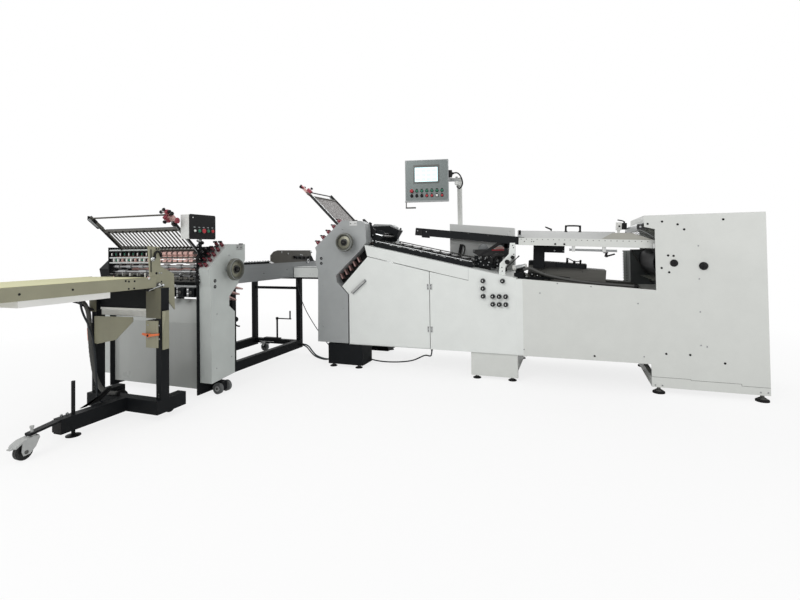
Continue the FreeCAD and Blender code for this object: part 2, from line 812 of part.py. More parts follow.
def register_housing():
    """Sheet-metal housing whose walls meet edge to edge; the door closes its left bay."""
    right = 0
    wall = sheet_metal
    hinge = -door_hinge_x
    panel = [
        (hinge + door_gap, housing_bottom),
        (right, housing_bottom),
        (right, housing_rise_right),
        (-band_end, housing_top(-band_end)),
        (-band_end, housing_top(-band_end) - band_height),
        (hinge + door_gap, housing_top(hinge + door_gap) - band_height),
    ]
    near = plate("housing_front", "XZ", panel, 0, wall)
    band = [
        (-band_end - 1, housing_top(-band_end - 1)),
        (-housing_reach, housing_top_left),
        (-door_top_x, door_top_height + door_gap),
        (-band_end - 1, housing_top(-band_end - 1) - band_height + 1),
    ]
    strip = plate("housing_band", "XZ", band, 0, wall)
    back = [
        (-housing_length, housing_bottom),
        (right, housing_bottom),
        (right, housing_rise_right),
        (-housing_reach, housing_top_left),
        (-door_top_x, door_top_height),
        (-door_throat_x, door_throat_height),
        (-housing_length, door_waist_height),
    ]
    far = plate("housing_back", "XZ", back, line_depth - wall, wall)
    inner_depth = line_depth - 2 * wall
    floor = box("housing_floor", (-housing_length, wall, housing_bottom), (housing_length, inner_depth, wall))
    drop = wall / cosine(housing_slope)
    roof = plate("housing_roof", "XZ",
                 [(-housing_reach, housing_top_left), (-housing_reach, housing_top_left - drop),
                  (right, housing_rise_right - drop), (right, housing_rise_right)],
                 wall, inner_depth)
    end = plate("housing_end", "XZ",
                [(right - wall, housing_bottom + wall), (right, housing_bottom + wall),
                 (right, housing_rise_right - drop),
                 (right - wall, housing_top(right - wall) - drop)],
                wall, inner_depth)
    corner = plate("housing_corner", "XY", [(0, 0), (corner_strip, side_inset), (0, side_inset)],
                   housing_bottom, side_rise_left - housing_bottom - 8)
    hinges = []
    for name, z in (("low", hinge_low), ("high", hinge_high)):
        hinges.append(box(f"hinge_leaf_{name}", (hinge, -wall, z), (28, wall, hinge_length)))
        hinges.append(cylinder(f"hinge_pin_{name}", (hinge, hinge_y, z), "z", hinge_radius,
                               hinge_length))
    node("register_housing", [near, strip, far, floor, roof, end, corner] + hinges)


def register_door():
    """Service door with its diagonal bar handle."""
    left = -door_hinge_x - door_gap
    top = housing_top(left) - band_height - door_gap
    outline = [
        (left, housing_bottom + 6),
        (left, top),
        (-door_top_x + door_gap, door_top_height - door_gap),
        (-door_throat_x + 2 * door_gap, door_throat_height),
        (-housing_length + 2 * door_gap, door_waist_height),
        (-housing_length + 2 * door_gap, housing_bottom + 6),
    ]
    skin = plate("door_skin", "XZ", outline, 0, sheet_metal)
    handle = box("door_bar", (0, -32, 0), (196, 14, 22))
    stems = [box(f"door_bar_stem_{x}", (x, -18, 4), (14, 18, 14)) for x in (12, 170)]
    bar = group("door_handle", [fuse("door_handle_bar", [handle] + stems)],
                (-1668, 0, 782), (0, 1, 0), -41)
    leaves = []
    for name, z in (("low", hinge_low), ("high", hinge_high)):
        leaves.append(box(f"door_leaf_{name}", (left - 23, -sheet_metal, z),
                          (23 + door_gap - running_gap, sheet_metal, hinge_length)))
    node("register_door", [skin, bar] + leaves)


def register_table():
    """Sloping register table on the housing's top: rails, plate, cross rollers and ball rail."""
    start = 60
    near = register_near
    far = line_depth - 150
    inner = near + frame_plate
    inner_width = far - inner
    parts = []
    for name, y in (("near", near), ("far", far)):
        parts.append(box(f"register_rail_{name}", (start, y, 0),
                         (register_length, frame_plate, register_rail)))
    parts.append(box("register_plate", (start, inner, 26), (register_length, inner_width, 5)))
    roller = 9
    for index in range(9):
        x = start + 60 + index * (register_length - 120) / 8
        parts.append(cylinder(f"register_roller_{index}", (x, inner, 31 + roller + running_gap), "y",
                              roller, inner_width))
    parts.append(box("ball_rail", (start + 20, inner + 40, 31 + 2 * roller + 2 * running_gap),
                     (register_length - 40, 34, 12)))
    parts.append(box("side_guide", (start + 20, inner + 76, 31 + 2 * roller + 2 * running_gap),
                     (register_length - 40, 8, 24)))
    for name, y in (("near", 300), ("far", 690)):
        outline = [(suction_reach - 60, 0), (suction_reach + 60, 0), (suction_reach + 40, 160),
                   (suction_reach - 40, 160)]
        bore = [((suction_reach, 120), suction_shaft_radius + shaft_clearance)]
        parts.append(plate(f"suction_bracket_{name}", "XZ", outline, y, bracket_thick, bore))
    node("register_table", parts, (-housing_reach, 0, housing_top_left), (0, 1, 0), housing_slope)


def suction_centre():
    """Axis of the suction wheels in line coordinates."""
    reach = suction_reach
    lift = 120
    return (-housing_reach + reach * cosine(housing_slope) + lift * sine(housing_slope),
            housing_top_left - reach * sine(housing_slope) + lift * cosine(housing_slope))


def suction_wheel():
    """Five suction discs on one shaft."""
    first = 40
    pitch = 72
    disc = 24
    profile = [(0, 0), (suction_shaft_radius, 0)]
    for index in range(5):
        start = first + index * pitch
        profile += [(suction_shaft_radius, start), (suction_radius, start),
                    (suction_radius, start + disc), (suction_shaft_radius, start + disc)]
    profile += [(suction_shaft_radius, 420), (0, 420)]
    x, z = suction_centre()
    node("suction_wheel", [turned("suction_body", profile, (x, 290, z), "y")])


def knob_positions():
    """Centres of the ten air knobs on the housing's front, column first."""
    column = [(-305, 930), (-305, 857), (-305, 784)]
    rest = [(-122, 930)]
    for z in (785, 711):
        rest += [(-215, z), (-155, z), (-95, z)]
    return column, rest


def air_knob(name, x, z):
    profile = [(0, 0), (11, 0), (11, 8), (knob_radius, 8), (knob_radius, knob_height), (0, knob_height)]
    body = turned(name, profile, (0, 0, 0), "z")
    return group(f"{name}_seat", [body], (x, -running_gap, z), (1, 0, 0), 90)


def air_knobs():
    column, rest = knob_positions()
    for index, (x, z) in enumerate(column, start=1):
        node(f"air_knob_{index}", [air_knob(f"air_knob_body_{index}", x, z)])
    node("valve_knobs", [air_knob(f"valve_knob_{index}", x, z) for index, (x, z) in enumerate(rest)])


def gauge_bracket():
    """White dogleg bracket that carries the upper table's left end, with two clamp knobs."""
    outline = [(-54, 1286), (-7, 1285), (-9, 1172), (-100, 1060), (-106, housing_top(-106)),
               (-162, housing_top(-162)), (-152, 1092), (-67, 1180)]
    y = sheet_metal + 40
    arm = plate("dogleg_plate", "XZ", outline, y, bracket_thick)
    knobs = []
    for index, (x, z) in enumerate(((-82, 1112), (-30, 1150))):
        profile = [(0, 0), (8, 0), (8, 12), (17, 12), (17, 34), (0, 34)]
        body = turned(f"dogleg_knob_{index}", profile, (0, 0, 0), "z")
        knobs.append(group(f"dogleg_knob_seat_{index}", [body], (x, y, z), (1, 0, 0), 90))
    foot = plate("dogleg_foot", "XZ",
                 [(-162, housing_top(-162)), (-100, housing_top(-100)), (-104, 1010), (-158, 1020)],
                 y + bracket_thick, 30)
    reach = upper_near + rail_plate - y - bracket_thick
    pin = cylinder("dogleg_pin", (-30, y + bracket_thick, 1274), "y", 9, reach)
    node("gauge_bracket", [arm, foot, pin] + knobs)


def blower_box():
    left = -837
    right = -107
    outline = [(left, housing_top(left)), (right, housing_top(right)), (right, blower_right_top),
               (left, blower_left_top)]
    node("blower_box", [shell("blower_case", outline, line_depth - 130, 120, sheet_metal)])


# ---------------------------------------------------------------- folding units

def unit1_outline():
    axis = unit1_axis
    return [
        (-395, axis - 50), (-381, axis - 92), (-392, axis - 216), (-360, axis - 298),
        (-369, axis - 1061), (-7, axis - 1061), (-4, axis - 549), (-135, axis - 420),
        (-145, axis - 349), (149, axis - 77), (212, axis), (203, axis + 191), (153, axis + 221),
        (-70, axis + 234),
    ]


def unit2_outline():
    axis = unit2_axis
    return [
        (-242, axis + 11), (-211, axis - 139), (-206, axis - 960), (81, axis - 934),
        (86, axis - 385), (13, axis - 326), (14, axis - 243), (127, axis - 141), (231, axis + 81),
        (232, axis + 225), (0, axis + 225),
    ]


def unit1_frame_outline():
    """Dark frame plate of the first unit: a leg with a wider, slant-fronted head."""
    axis = unit1_axis
    return [(-355, frame_foot), (-20, frame_foot), (-20, axis - 480), (140, axis - 110),
            (140, axis + 205), (-125, axis + 205), (-365, axis + 5)]


def unit2_frame_outline():
    """Dark frame plate of the second unit, with the bearing nose for its front rollers."""
    axis = unit2_axis
    return [(-233, 20), (60, 20), (60, axis - 340), (180, axis - 100), (180, axis + 205),
            (-120, axis + 205), (-200, axis + 160), (-233, axis + 120)]


def unit_node(label, unit, parts):
    """A node of a folding unit, built in the unit's own (u, v, z) frame."""
    corner, angle = UNIT_PLACES[unit]
    return node(label, parts, corner, (0, 0, 1), angle)


UNIT_PLACES = {
    1: ((unit1_x, as_size(0), as_size(0)), 0),
    2: ((unit2_x, unit2_y, as_size(0)), 90),
}
UNIT_WIDTH = {1: line_depth, 2: unit2_width}
UNIT_AXIS = {1: unit1_axis, 2: unit2_axis}


def roller_places(unit):
    """Fold roller axes as (u, z), from the top roller down."""
    axis = UNIT_AXIS[unit]
    if unit == 1:
        return [(-60, axis + 70), (-110, axis + 10)]
    return [(-165, axis + 123), (-165, axis + 76)]


def slitter_place():
    return (-205, unit2_axis + 34)


def unit_side_covers(unit, outline):
    width = UNIT_WIDTH[unit]
    near = shell(f"unit{unit}_near_shell", outline, 0, cover_depth, cover_sheet)
    bore = cylinder(f"unit{unit}_cover_bore", (0, -10, UNIT_AXIS[unit]), "y",
                    shaft_radius + 4, cover_depth + 20)
    near = cut(f"unit{unit}_near_cover", near, bore)
    far = shell(f"unit{unit}_far_shell", outline, width - cover_depth, cover_depth, cover_sheet)
    unit_node(f"unit{unit}_covers", unit, [near, far])


def unit_frames(unit, outline, bores, tie_u):
    """Two frame plates with bored bearings, and the tie bars that join them."""
    width = UNIT_WIDTH[unit]
    inner = width - 2 * cover_depth - 2 * frame_plate
    plates = []
    for name, y in (("near", cover_depth), ("far", width - cover_depth - frame_plate)):
        plates.append(plate(f"unit{unit}_{name}_frame", "XZ", outline, y, frame_plate, bores))
    ties = []
    axis = UNIT_AXIS[unit]
    for index, drop in enumerate((560, 800)):
        ties.append(box(f"unit{unit}_tie_{index}", (tie_u, cover_depth + frame_plate, axis - drop),
                        (tie_width, inner, tie_width)))
    for index, (u, z) in enumerate(fixed_shafts(unit)):
        ties.append(turned(f"unit{unit}_fixed_shaft_{index}", collared_profile(inner, 4),
                           (u, cover_depth + frame_plate, z), "y"))
    if unit == 2:
        ties += unit2_feet()
    else:
        ties.append(box("hood_beam", (100, cover_depth + frame_plate, axis + 81),
                        (tie_width, inner, tie_width)))
    unit_node(f"unit{unit}_frames", unit, plates + ties)


def fixed_shafts(unit):
    """Axes of the shafts in the roller nest that stand still in this model, as (u, z)."""
    axis = UNIT_AXIS[unit]
    lower_roller = roller_places(unit)[1]
    if unit == 1:
        return [lower_roller]
    return [lower_roller, (-205, axis - 14), (-205, axis - 62)]


def collared_profile(length, count):
    """Half section of a shaft of this length with evenly spaced collars."""
    collar = 20
    pitch = length / count
    profile = [(0, 0), (shaft_radius, 0)]
    for index in range(count):
        start = (index + 0.32) * pitch
        end = (index + 0.68) * pitch
        profile += [(shaft_radius, start), (collar, start), (collar, end), (shaft_radius, end)]
    return profile + [(shaft_radius, length), (0, length)]


def unit2_feet():
    """What the second unit stands on: the near frame's wheel block and the far frame's two feet."""
    block = box("wheel_block", (unit2_wheel_u + 34, unit2_wheel_v - 20, 24),
                (66, cover_depth - unit2_wheel_v + 20, 76))
    bore = cylinder("wheel_block_bore", (unit2_wheel_u + 30, unit2_wheel_v, unit2_wheel_radius), "x",
                    journal_radius + shaft_clearance, 80)
    feet = [cut("wheel_block_bored", block, bore)]
    for index, u in enumerate((-180, 20)):
        feet.append(cylinder(f"unit2_foot_{index}", (u, unit2_width - cover_depth - frame_plate / 2, 0), "z",
                             28, 20))
    return feet


def roller_body(name, unit, place_uz, radius):
    """A fold roller whose journals run in both frame plates."""
    u, z = place_uz
    width = UNIT_WIDTH[unit]
    length = width - 2 * cover_depth
    start = frame_plate + 6
    end = length - start
    profile = [(0, 0), (shaft_radius, 0), (shaft_radius, start), (radius, start), (radius, end),
               (shaft_radius, end), (shaft_radius, length), (0, length)]
    return turned(name, profile, (u, cover_depth, z), "y")


def handwheel(unit):
    """Cupped handwheel on the main roller's long shaft."""
    width = UNIT_WIDTH[unit]
    axis = UNIT_AXIS[unit]
    hub = handwheel_offset + handwheel_width
    inner_end = cover_depth + frame_plate + 6
    outer_end = width - inner_end
    rim = handwheel_radius
    # Distances run from the wheel's outer face at -hub to the far frame plate.
    profile = [
        (0, 0), (26, 0), (26, 14), (rim - 30, 22), (rim - 22, 0), (rim - 8, 0), (rim, 10),
        (rim, handwheel_width - 8), (rim - 8, handwheel_width), (rim - 20, handwheel_width),
        (rim - 34, 34), (30, 30), (30, hub - 4), (shaft_radius, hub - 4),
        (shaft_radius, hub + inner_end), (fold_roller_radius, hub + inner_end),
        (fold_roller_radius, hub + outer_end), (shaft_radius, hub + outer_end),
        (shaft_radius, hub + width - cover_depth), (0, hub + width - cover_depth),
    ]
    wheel = turned(f"unit{unit}_wheel_and_shaft", profile, (0, -hub, axis), "y")
    unit_node(f"unit{unit}_handwheel", unit, [wheel])


def fold_roller(unit):
    first = roller_places(unit)[0]
    body = roller_body(f"unit{unit}_roller_body", unit, first, fold_roller_radius)
    unit_node(f"unit{unit}_fold_roller", unit, [body])


def buckle_grille(name, start_v, width, pocket_grille):
    """Slatted buckle plate: one slot repeated across the plate by a linear pattern."""
    body = doc.addObject("PartDesign::Body", name)
    sketch = body_sketch(body, "XY_Plane", f"{name}_outline")
    draw_polygon(sketch, [(0, 0), (pocket_grille, 0), (pocket_grille, width), (0, width)])
    pad = body.newObject("PartDesign::Pad", f"{name}_pad")
    pad.Profile = sketch
    bind(pad, "Length", sheet_metal)
    slot_sketch = body_sketch(body, "XY_Plane", f"{name}_slot_outline")
    margin = 16
    slot_end = pocket_grille - margin
    draw_polygon(slot_sketch, [(margin, margin), (slot_end, margin), (slot_end, margin + slat_slot),
                               (margin, margin + slat_slot)])
    slot = body.newObject("PartDesign::Pocket", f"{name}_slot")
    slot.Profile = slot_sketch
    slot.Type = "ThroughAll"
    slot.Midplane = True
    pattern = body.newObject("PartDesign::LinearPattern", f"{name}_slots")
    pattern.Originals = [slot]
    pattern.Direction = (slot_sketch, ["V_Axis"])
    count = int((as_size(width).value - 2 * margin - slat_slot.value) / slat_pitch.value) + 1
    pattern.Occurrences = count
    bind(pattern, "Length", (count - 1) * slat_pitch)
    body.Tip = pattern
    return place(body, (0, start_v, 0))


POCKET_SIZES = {
    1: (pocket1_slope, pocket1_rise, pocket1_length, pocket1_grille, pocket1_tail),
    2: (pocket2_slope, pocket2_rise, pocket2_length, pocket2_grille, pocket2_tail),
}


def upper_pocket(unit):
    """Upper buckle pocket: slatted plate between two arms, root bar, cross bar and stop rod."""
    slope, rise, length, grille, tail = POCKET_SIZES[unit]
    inner = cover_depth + frame_plate
    span = UNIT_WIDTH[unit] - 2 * inner
    arm_thick = 10
    arm_height = 28
    far_arm = inner + span - pocket_far_inset - arm_thick
    pieces = []
    for name, v in (("near", inner), ("far", far_arm)):
        pieces.append(box(f"unit{unit}_arm_{name}", (-tail, v, -arm_height / 2),
                          (length + tail, arm_thick, arm_height)))
    clear = inner + arm_thick
    clear_span = far_arm - clear
    pieces.append(buckle_grille(f"unit{unit}_grille", clear, clear_span, grille))
    pieces.append(box(f"unit{unit}_cross_bar", (grille, clear, -8), (16, clear_span, 20)))
    pieces.append(cylinder(f"unit{unit}_stop_rod", (length - 18, clear, 0), "y", 7, clear_span))
    pieces.append(box(f"unit{unit}_root_bar", (-26, clear, -10), (20, clear_span, 20)))
    pieces.append(box(f"unit{unit}_root_foot", (-tail, far_arm + arm_thick, -arm_height / 2),
                      (30, pocket_far_inset, arm_height)))
    return group(f"unit{unit}_upper_pocket", pieces, (pocket_root_u, 0, UNIT_AXIS[unit] + rise),
                 (0, 1, 0), 180 + slope)


def throat_bar(name, u, z, length, angle):
    """End bar of a lower pocket, standing out from the near frame plate towards the operator."""
    reach = cover_depth - 60
    thick = 12
    return place(box(name, (0, 0, 0), (length, reach, thick)), (u, 60, z), (0, 1, 0), angle)


def lower_pockets(unit):
    """Thin pocket plates between the frames and the end bars in the near cover's throat."""
    axis = UNIT_AXIS[unit]
    inner = cover_depth + frame_plate
    span = UNIT_WIDTH[unit] - 2 * inner
    pieces = []
    if unit == 1:
        starts = [(-62 + index * 46, axis - 440 + index * 86) for index in range(5)]
        bars = [(-128 + index * 50, axis - 338 + index * 44.25, 60, 63) for index in range(5)]
        reach = 120
    else:
        starts = [(30 + index * 34, axis - 236 + index * 34) for index in range(3)]
        bars = [(125, axis - 164, 152, 15.6), (80, axis - 204, 153, 17.8), (50, axis - 243, 141, 23.3)]
        reach = 60
    for index, (u, z) in enumerate(starts):
        blade = box(f"unit{unit}_lower_{index}", (0, 0, 0), (reach, span, sheet_metal))
        pieces.append(place(blade, (u, inner, z), (0, 1, 0), 34))
    for index, (u, z, length, angle) in enumerate(bars):
        pieces.append(throat_bar(f"unit{unit}_throat_bar_{index}", u, z, length, angle))
    return pieces


def unit_pockets(unit):
    unit_node(f"unit{unit}_pockets", unit, [upper_pocket(unit)] + lower_pockets(unit))


def pocket_knob(name, u, v, z, lean):
    """One pocket adjuster: red body and black T grip on the cover's sloping shoulder."""
    profile = [(0, 0), (8, 0), (8, 8), (14, 8), (14, 44), (6, 44), (6, 56), (0, 56)]
    body = turned(f"{name}_body", profile, (0, 0, 0), "z")
    grip = box(f"{name}_grip", (-6, -19, 50), (12, 38, 12))
    return group(f"{name}_seat", [fuse(name, [body, grip])], (u, v, z), (0, 1, 0), lean)


def pocket_knobs(unit):
    axis = UNIT_AXIS[unit]
    if unit == 1:
        low = (-395, -50)
        high = (-70, 234)
    else:
        low = (-242, 11)
        high = (0, 225)
    lean = -math.degrees(math.atan2(high[1] - low[1], high[0] - low[0]))
    knobs = []
    for index in range(5):
        share = 0.1 + 0.2 * index
        u = low[0] + share * (high[0] - low[0])
        z = axis + low[1] + share * (high[1] - low[1])
        for row, v in enumerate((34, 88)):
            knobs.append(pocket_knob(f"unit{unit}_knob_{index}_{row}", u, v, z, lean))
    unit_node(f"unit{unit}_pocket_knobs", unit, knobs)


def unit1_base():
    left = unit_base_left
    right = left + unit_base_length
    outline = [(left, small_foot), (right, small_foot), (right, unit_base_top), (left, unit_base_top)]
    cases = []
    for name, start in (("near", side_inset), ("far", line_depth - side_inset - unit_base_depth)):
        cases.append(shell(f"unit1_base_{name}", outline, start, unit_base_depth, cover_sheet))
    deck = box("unit1_base_deck", (-370, cover_depth, unit_base_top),
               (340, line_depth - 2 * cover_depth, frame_foot - unit_base_top))
    unit_node("unit1_base", 1, cases + [deck])


def infeed_hood():
    """Narrow dark hood over the first unit's infeed: a bent skin on two cheeks."""
    axis = unit1_axis
    wall = sheet_metal
    cheek = [(140, axis + 6), (302, axis + 40), (363, axis + 135), (244, axis + 187), (140, axis + 193)]
    skin = cheek[1:] + [(140, axis + 193 - wall), (243, axis + 187 - wall), (359, axis + 134),
                        (299, axis + 42)]
    near = 600
    width = 120
    cheek_thick = 6
    parts = [plate("hood_cheek_near", "XZ", cheek, near, cheek_thick),
             plate("hood_cheek_far", "XZ", cheek, near + width - cheek_thick, cheek_thick),
             plate("hood_skin", "XZ", skin, near + cheek_thick, width - 2 * cheek_thick)]
    unit_node("infeed_hood", 1, parts)


def unit2_front_panel():
    """Grey splash panel between the second unit's frames; its top leans back."""
    inner = cover_depth + frame_plate
    span = unit2_width - 2 * inner
    t = sheet_metal
    front = -190
    bend = 620
    top = 820
    outline = [(front, 60), (front + t, 60), (front + t, bend), (front + 90, top), (front + 86, top + 2),
               (front, bend + 2)]
    body = plate("front_panel_sheet", "XZ", outline, inner, span)
    unit_node("unit2_front_panel", 2, [body])


def slitter_shaft():
    """Upper slitter shaft with its collars, at the second unit's exit."""
    u, z = slitter_place()
    profile = collared_profile(unit2_width - 2 * cover_depth, 7)
    unit_node("slitter_shaft", 2, [turned("slitter_body", profile, (u, cover_depth, z), "y")])


def unit2_wheels():
    """Wheelset under the second unit's near cover: two wheels on an axle in the wheel block."""
    wide = 30
    gap = 74
    radius = unit2_wheel_radius
    profile = [(0, 0), (radius, 0), (radius, wide), (journal_radius, wide), (journal_radius, wide + gap),
               (radius, wide + gap), (radius, 2 * wide + gap), (0, 2 * wide + gap)]
    wheelset = turned("unit2_wheelset", profile, (unit2_wheel_u, unit2_wheel_v, radius), "x")
    unit_node("unit2_wheels", 2, [wheelset])


def button_panel():
    """Small button box beside the handwheel, on a bracket from the near frame plate."""
    depth = 90
    width = 287
    height = 196
    bottom = unit2_axis + 267
    start = -447
    bracket = 10
    case = box("button_case", (start, 0, bottom), (width, depth, height))
    strap = box("button_strap", (-220, cover_depth - bracket, unit2_axis + 68), (30, bracket, 290))
    arm = box("button_arm", (-220, depth, bottom + 50), (30, cover_depth - bracket - depth, 40))
    buttons = []
    for index, radius in enumerate((7, 9, 12, 9, 9)):
        buttons.append(cylinder(f"panel_push_{index}", (start + 53 + index * 50, -10, bottom + 65), "y",
                                radius, 10))
    unit_node("button_panel", 2, [case, strap, arm] + buttons)


# ---------------------------------------------------------------- transfer table

def transfer_table():
    """Cross table that takes the sheet out of the first unit and into the second."""
    right = transfer_right
    left = right - transfer_width
    length = transfer_back - transfer_front
    bottom = transfer_top - transfer_rail
    t = 10
    parts = [
        box("transfer_rail_right", (right - t, transfer_front, bottom), (t, length, transfer_rail)),
        box("transfer_rail_left", (left, transfer_front, bottom), (t, length, transfer_rail)),
        box("transfer_rail_back", (left + t, transfer_back - t, bottom),
            (transfer_width - 2 * t, t, transfer_rail)),
        box("transfer_plate", (left + t, transfer_front, transfer_top - 40),
            (transfer_width - 2 * t, length - t, 5)),
    ]
    for index in range(8):
        y = transfer_front + 90 + index * (length - 200) / 7
        parts.append(cylinder(f"transfer_roller_{index}", (left + t, y, transfer_top - 35 + 15), "x",
                              15, transfer_width - 2 * t))
    rim = transfer_top
    outline = [(-60, rim), (797, rim), (721, rim + 23), (684, rim + 136), (-6, rim + 142), (-78, rim + 128),
               (-137, rim + 87), (-137, rim + 25)]
    parts.append(plate("exit_bracket", "YZ", outline, right - t, t))
    parts.append(box("transfer_ball_rail", (right - 60, transfer_front + 20, transfer_top - 5),
                     (30, 700, 10)))
    node("transfer_table", parts)


def transfer_frame():
    """Dark tube frame: long beams, end beams, legs and top rails, all butted."""
    right = transfer_right - tube_width
    left = transfer_right - transfer_width
    top = transfer_top - transfer_rail
    leg_top = top - tube_width / 2
    beam_top = beam_bottom + beam_height
    back = transfer_leg_y + tube_width
    front = transfer_front_leg_y
    parts = []
    for name, x in (("left", left), ("right", right)):
        parts.append(box(f"base_beam_{name}", (x, front, beam_bottom),
                         (tube_width, back - front, beam_height)))
        for place_name, y in (("back", transfer_leg_y), ("front", front)):
            parts.append(box(f"leg_{name}_{place_name}", (x, y, beam_top),
                             (tube_width, tube_width, leg_top - beam_top)))
    inner = right - left - tube_width
    for name, y in (("back", transfer_leg_y), ("front", front)):
        parts.append(box(f"base_cross_{name}", (left + tube_width, y, cross_bottom),
                         (inner, tube_width, tube_width)))
    parts.append(box("middle_cross", (left + tube_width, transfer_leg_y + 10, 770), (inner, 30, 30)))
    rail = 340
    parts.append(box("top_rail_back", (left, transfer_leg_y, leg_top),
                     (right - left + tube_width + rail, tube_width, tube_width / 2)))
    parts.append(box("top_rail_front", (left, front, leg_top),
                     (right - left + tube_width, tube_width, tube_width / 2)))
    reach = transfer_front_leg_y - unit2_y
    for name, x in (("left", left), ("right", right)):
        parts.append(box(f"unit2_beam_{name}", (x, unit2_y, beam_bottom + 20),
                         (tube_width, reach, tube_width)))
    lower = unit2_x - unit2_width + cover_depth + frame_plate
    upper = unit2_x - cover_depth - frame_plate
    parts.append(box("unit2_cross", (lower, unit2_y - tube_width, beam_bottom + 20),
                     (upper - lower, tube_width, tube_width)))
    screw_x = crank_axis_x()
    bracket = box("crank_bracket", (screw_x - 180, transfer_leg_y, cross_bottom + tube_width),
                  (220, tube_width, crank_plate))
    bore = cylinder("crank_bore", (screw_x, wheel_y(), cross_bottom + tube_width), "z",
                    journal_radius + shaft_clearance, crank_plate)
    parts.append(cut("crank_plate", bracket, bore))
    wheel_x = transfer_wheel_x()
    for name, offset in (("near", -24), ("far", 16)):
        parts.append(box(f"wheel_ear_{name}", (wheel_x - 14, wheel_y() + offset, 40),
                         (28, 8, cross_bottom - 40)))
    parts.append(cylinder("wheel_axle", (wheel_x, wheel_y() - 16, transfer_wheel_radius), "y", 6, 32))
    node("transfer_frame", parts)


def crank_axis_x():
    return transfer_right - transfer_width / 2 + 5


def transfer_wheel_x():
    return transfer_right - transfer_width / 2 - 176


def wheel_y():
    return transfer_leg_y + tube_width / 2


def transfer_crank():
    """Height screw with its cranked handle."""
    x = crank_axis_x()
    y = transfer_leg_y + tube_width / 2
    screw_bottom = cross_bottom + tube_width + crank_plate + running_gap
    journal = crank_plate
    screw = turned("crank_screw",
                   [(0, -journal), (journal_radius, -journal), (journal_radius, 0), (11, 0),
                    (11, crank_height - screw_bottom), (0, crank_height - screw_bottom)],
                   (x, y, screw_bottom), "z")
    arm = box("crank_arm", (x - 14, y - 8, crank_height), (crank_reach + 28, 16, 12))
    grip = cylinder("crank_grip", (x + crank_reach, y, crank_height + 12), "z", 9, 92)
    node("transfer_crank", [screw, arm, grip])


def wheel_profile(radius, width, bore):
    """Tyre and hub in one outline, centred on its own width."""
    half = width / 2
    web = half - 4
    hub = radius * 0.45
    rim = radius * 0.75
    return [(bore, -half), (hub, -half), (hub, -web), (rim, -web), (rim, -half), (radius, -half),
            (radius, half), (rim, half), (rim, web), (hub, web), (hub, half), (bore, half)]


def transfer_wheel():
    profile = wheel_profile(transfer_wheel_radius, 30, 6.05)
    body = turned("transfer_wheel_body", profile, (transfer_wheel_x(), wheel_y(), transfer_wheel_radius), "y")
    node("transfer_wheel", [body])


def junction_box():
    top = transfer_top - transfer_rail
    corner = (transfer_right + 6, transfer_leg_y - 130, top)
    case = box("junction_case", corner, (330, 184, 124))
    node("junction_box", [case])


# ---------------------------------------------------------------- delivery

def delivery_frame():
    """Olive delivery: two beams, upright end plates, cross pieces and the lower tray."""
    t = frame_plate
    right = delivery_right
    left = right - delivery_width
    bottom = delivery_top - delivery_beam
    length = delivery_start - delivery_end
    parts = []
    for name, x in (("near", right - t), ("far", left)):
        parts.append(box(f"delivery_beam_{name}", (x, delivery_end, bottom), (t, length, delivery_beam)))
    start = delivery_start
    top = delivery_top
    near_end = [(start - 40, top - 9), (start + 186, top - 264), (start + 178, top + 16),
                (start + 52, top + 78), (start + 43, top + 225), (start - 57, top + 233)]
    far_end = [(start - 120, bottom), (start + 80, bottom), (start + 186, top - 264),
               (start + 178, top - 6), (start - 120, top - 6)]
    parts.append(plate("end_plate_near", "YZ", near_end, right - t - 10, 10))
    parts.append(plate("end_plate_far", "YZ", far_end, left + t, 10))
    span = delivery_width - 2 * t
    left_post, right_post = stand_post_x()
    between = left_post + stand_post_width
    gap = right_post - between
    cross_bottom_z = 815
    brush = 60
    parts.append(box("delivery_cross", (between, start + 20, cross_bottom_z),
                     (gap, 4, bottom - 19 - cross_bottom_z)))
    parts.append(box("cross_lip", (between, start + 24, 870), (gap, 40, 30)))
    parts.append(box("brush_strip", (between + 24, start + 14, cross_bottom_z - brush),
                     (gap - 44, 10, brush)))
    parts.append(box("belt_bed", (left + t, delivery_end + 60, top - 30), (span, length - 190, 16)))
    parts.append(box("under_tray", (left + t, delivery_end + 300, top - 118), (span, 560, 46)))
    node("delivery_frame", parts + clamp_brackets())


def belt_axis_z():
    return delivery_top - belt_thick - belt_roller_radius + 2


def belt_ends():
    """Y of the two belt rollers."""
    return (delivery_end + 32, delivery_start - 60)


def delivery_belt():
    """Endless belt as a flat loop round its two end rollers."""
    front, back = belt_ends()
    inner = belt_roller_radius + running_gap
    outer = inner + belt_thick
    z = belt_axis_z()
    x = delivery_right - delivery_width + 2 * frame_plate + 14
    width = delivery_width - 4 * frame_plate - 28
    loops = []
    for name, radius in (("outer", outer), ("inner", inner)):
        slab = box(f"belt_slab_{name}", (x, front, z - radius), (width, back - front, 2 * radius))
        ends = [cylinder(f"belt_end_{name}_{index}", (x, y, z), "x", radius, width)
                for index, y in enumerate((front, back))]
        loops.append(fuse(f"belt_{name}", [slab] + ends))
    node("delivery_belt", [cut("belt_loop", loops[0], loops[1])])


def delivery_roller():
    """Driven roller at the belt's free end, running in both beams."""
    front, _ = belt_ends()
    length = delivery_width - 2 * frame_plate
    start = 20
    end = length - start
    profile = [(0, 0.3), (journal_radius, 0.3), (journal_radius, start), (belt_roller_radius, start),
               (belt_roller_radius, end), (journal_radius, end), (journal_radius, length - 0.3),
               (0, length - 0.3)]
    x = delivery_right - delivery_width + frame_plate
    node("delivery_roller", [turned("delivery_roller_body", profile, (x, front, belt_axis_z()), "x")])


def stand_post_x():
    """Left faces of the two posts."""
    return (delivery_right - delivery_width + frame_plate + 10, delivery_right + 56 - stand_post_width)


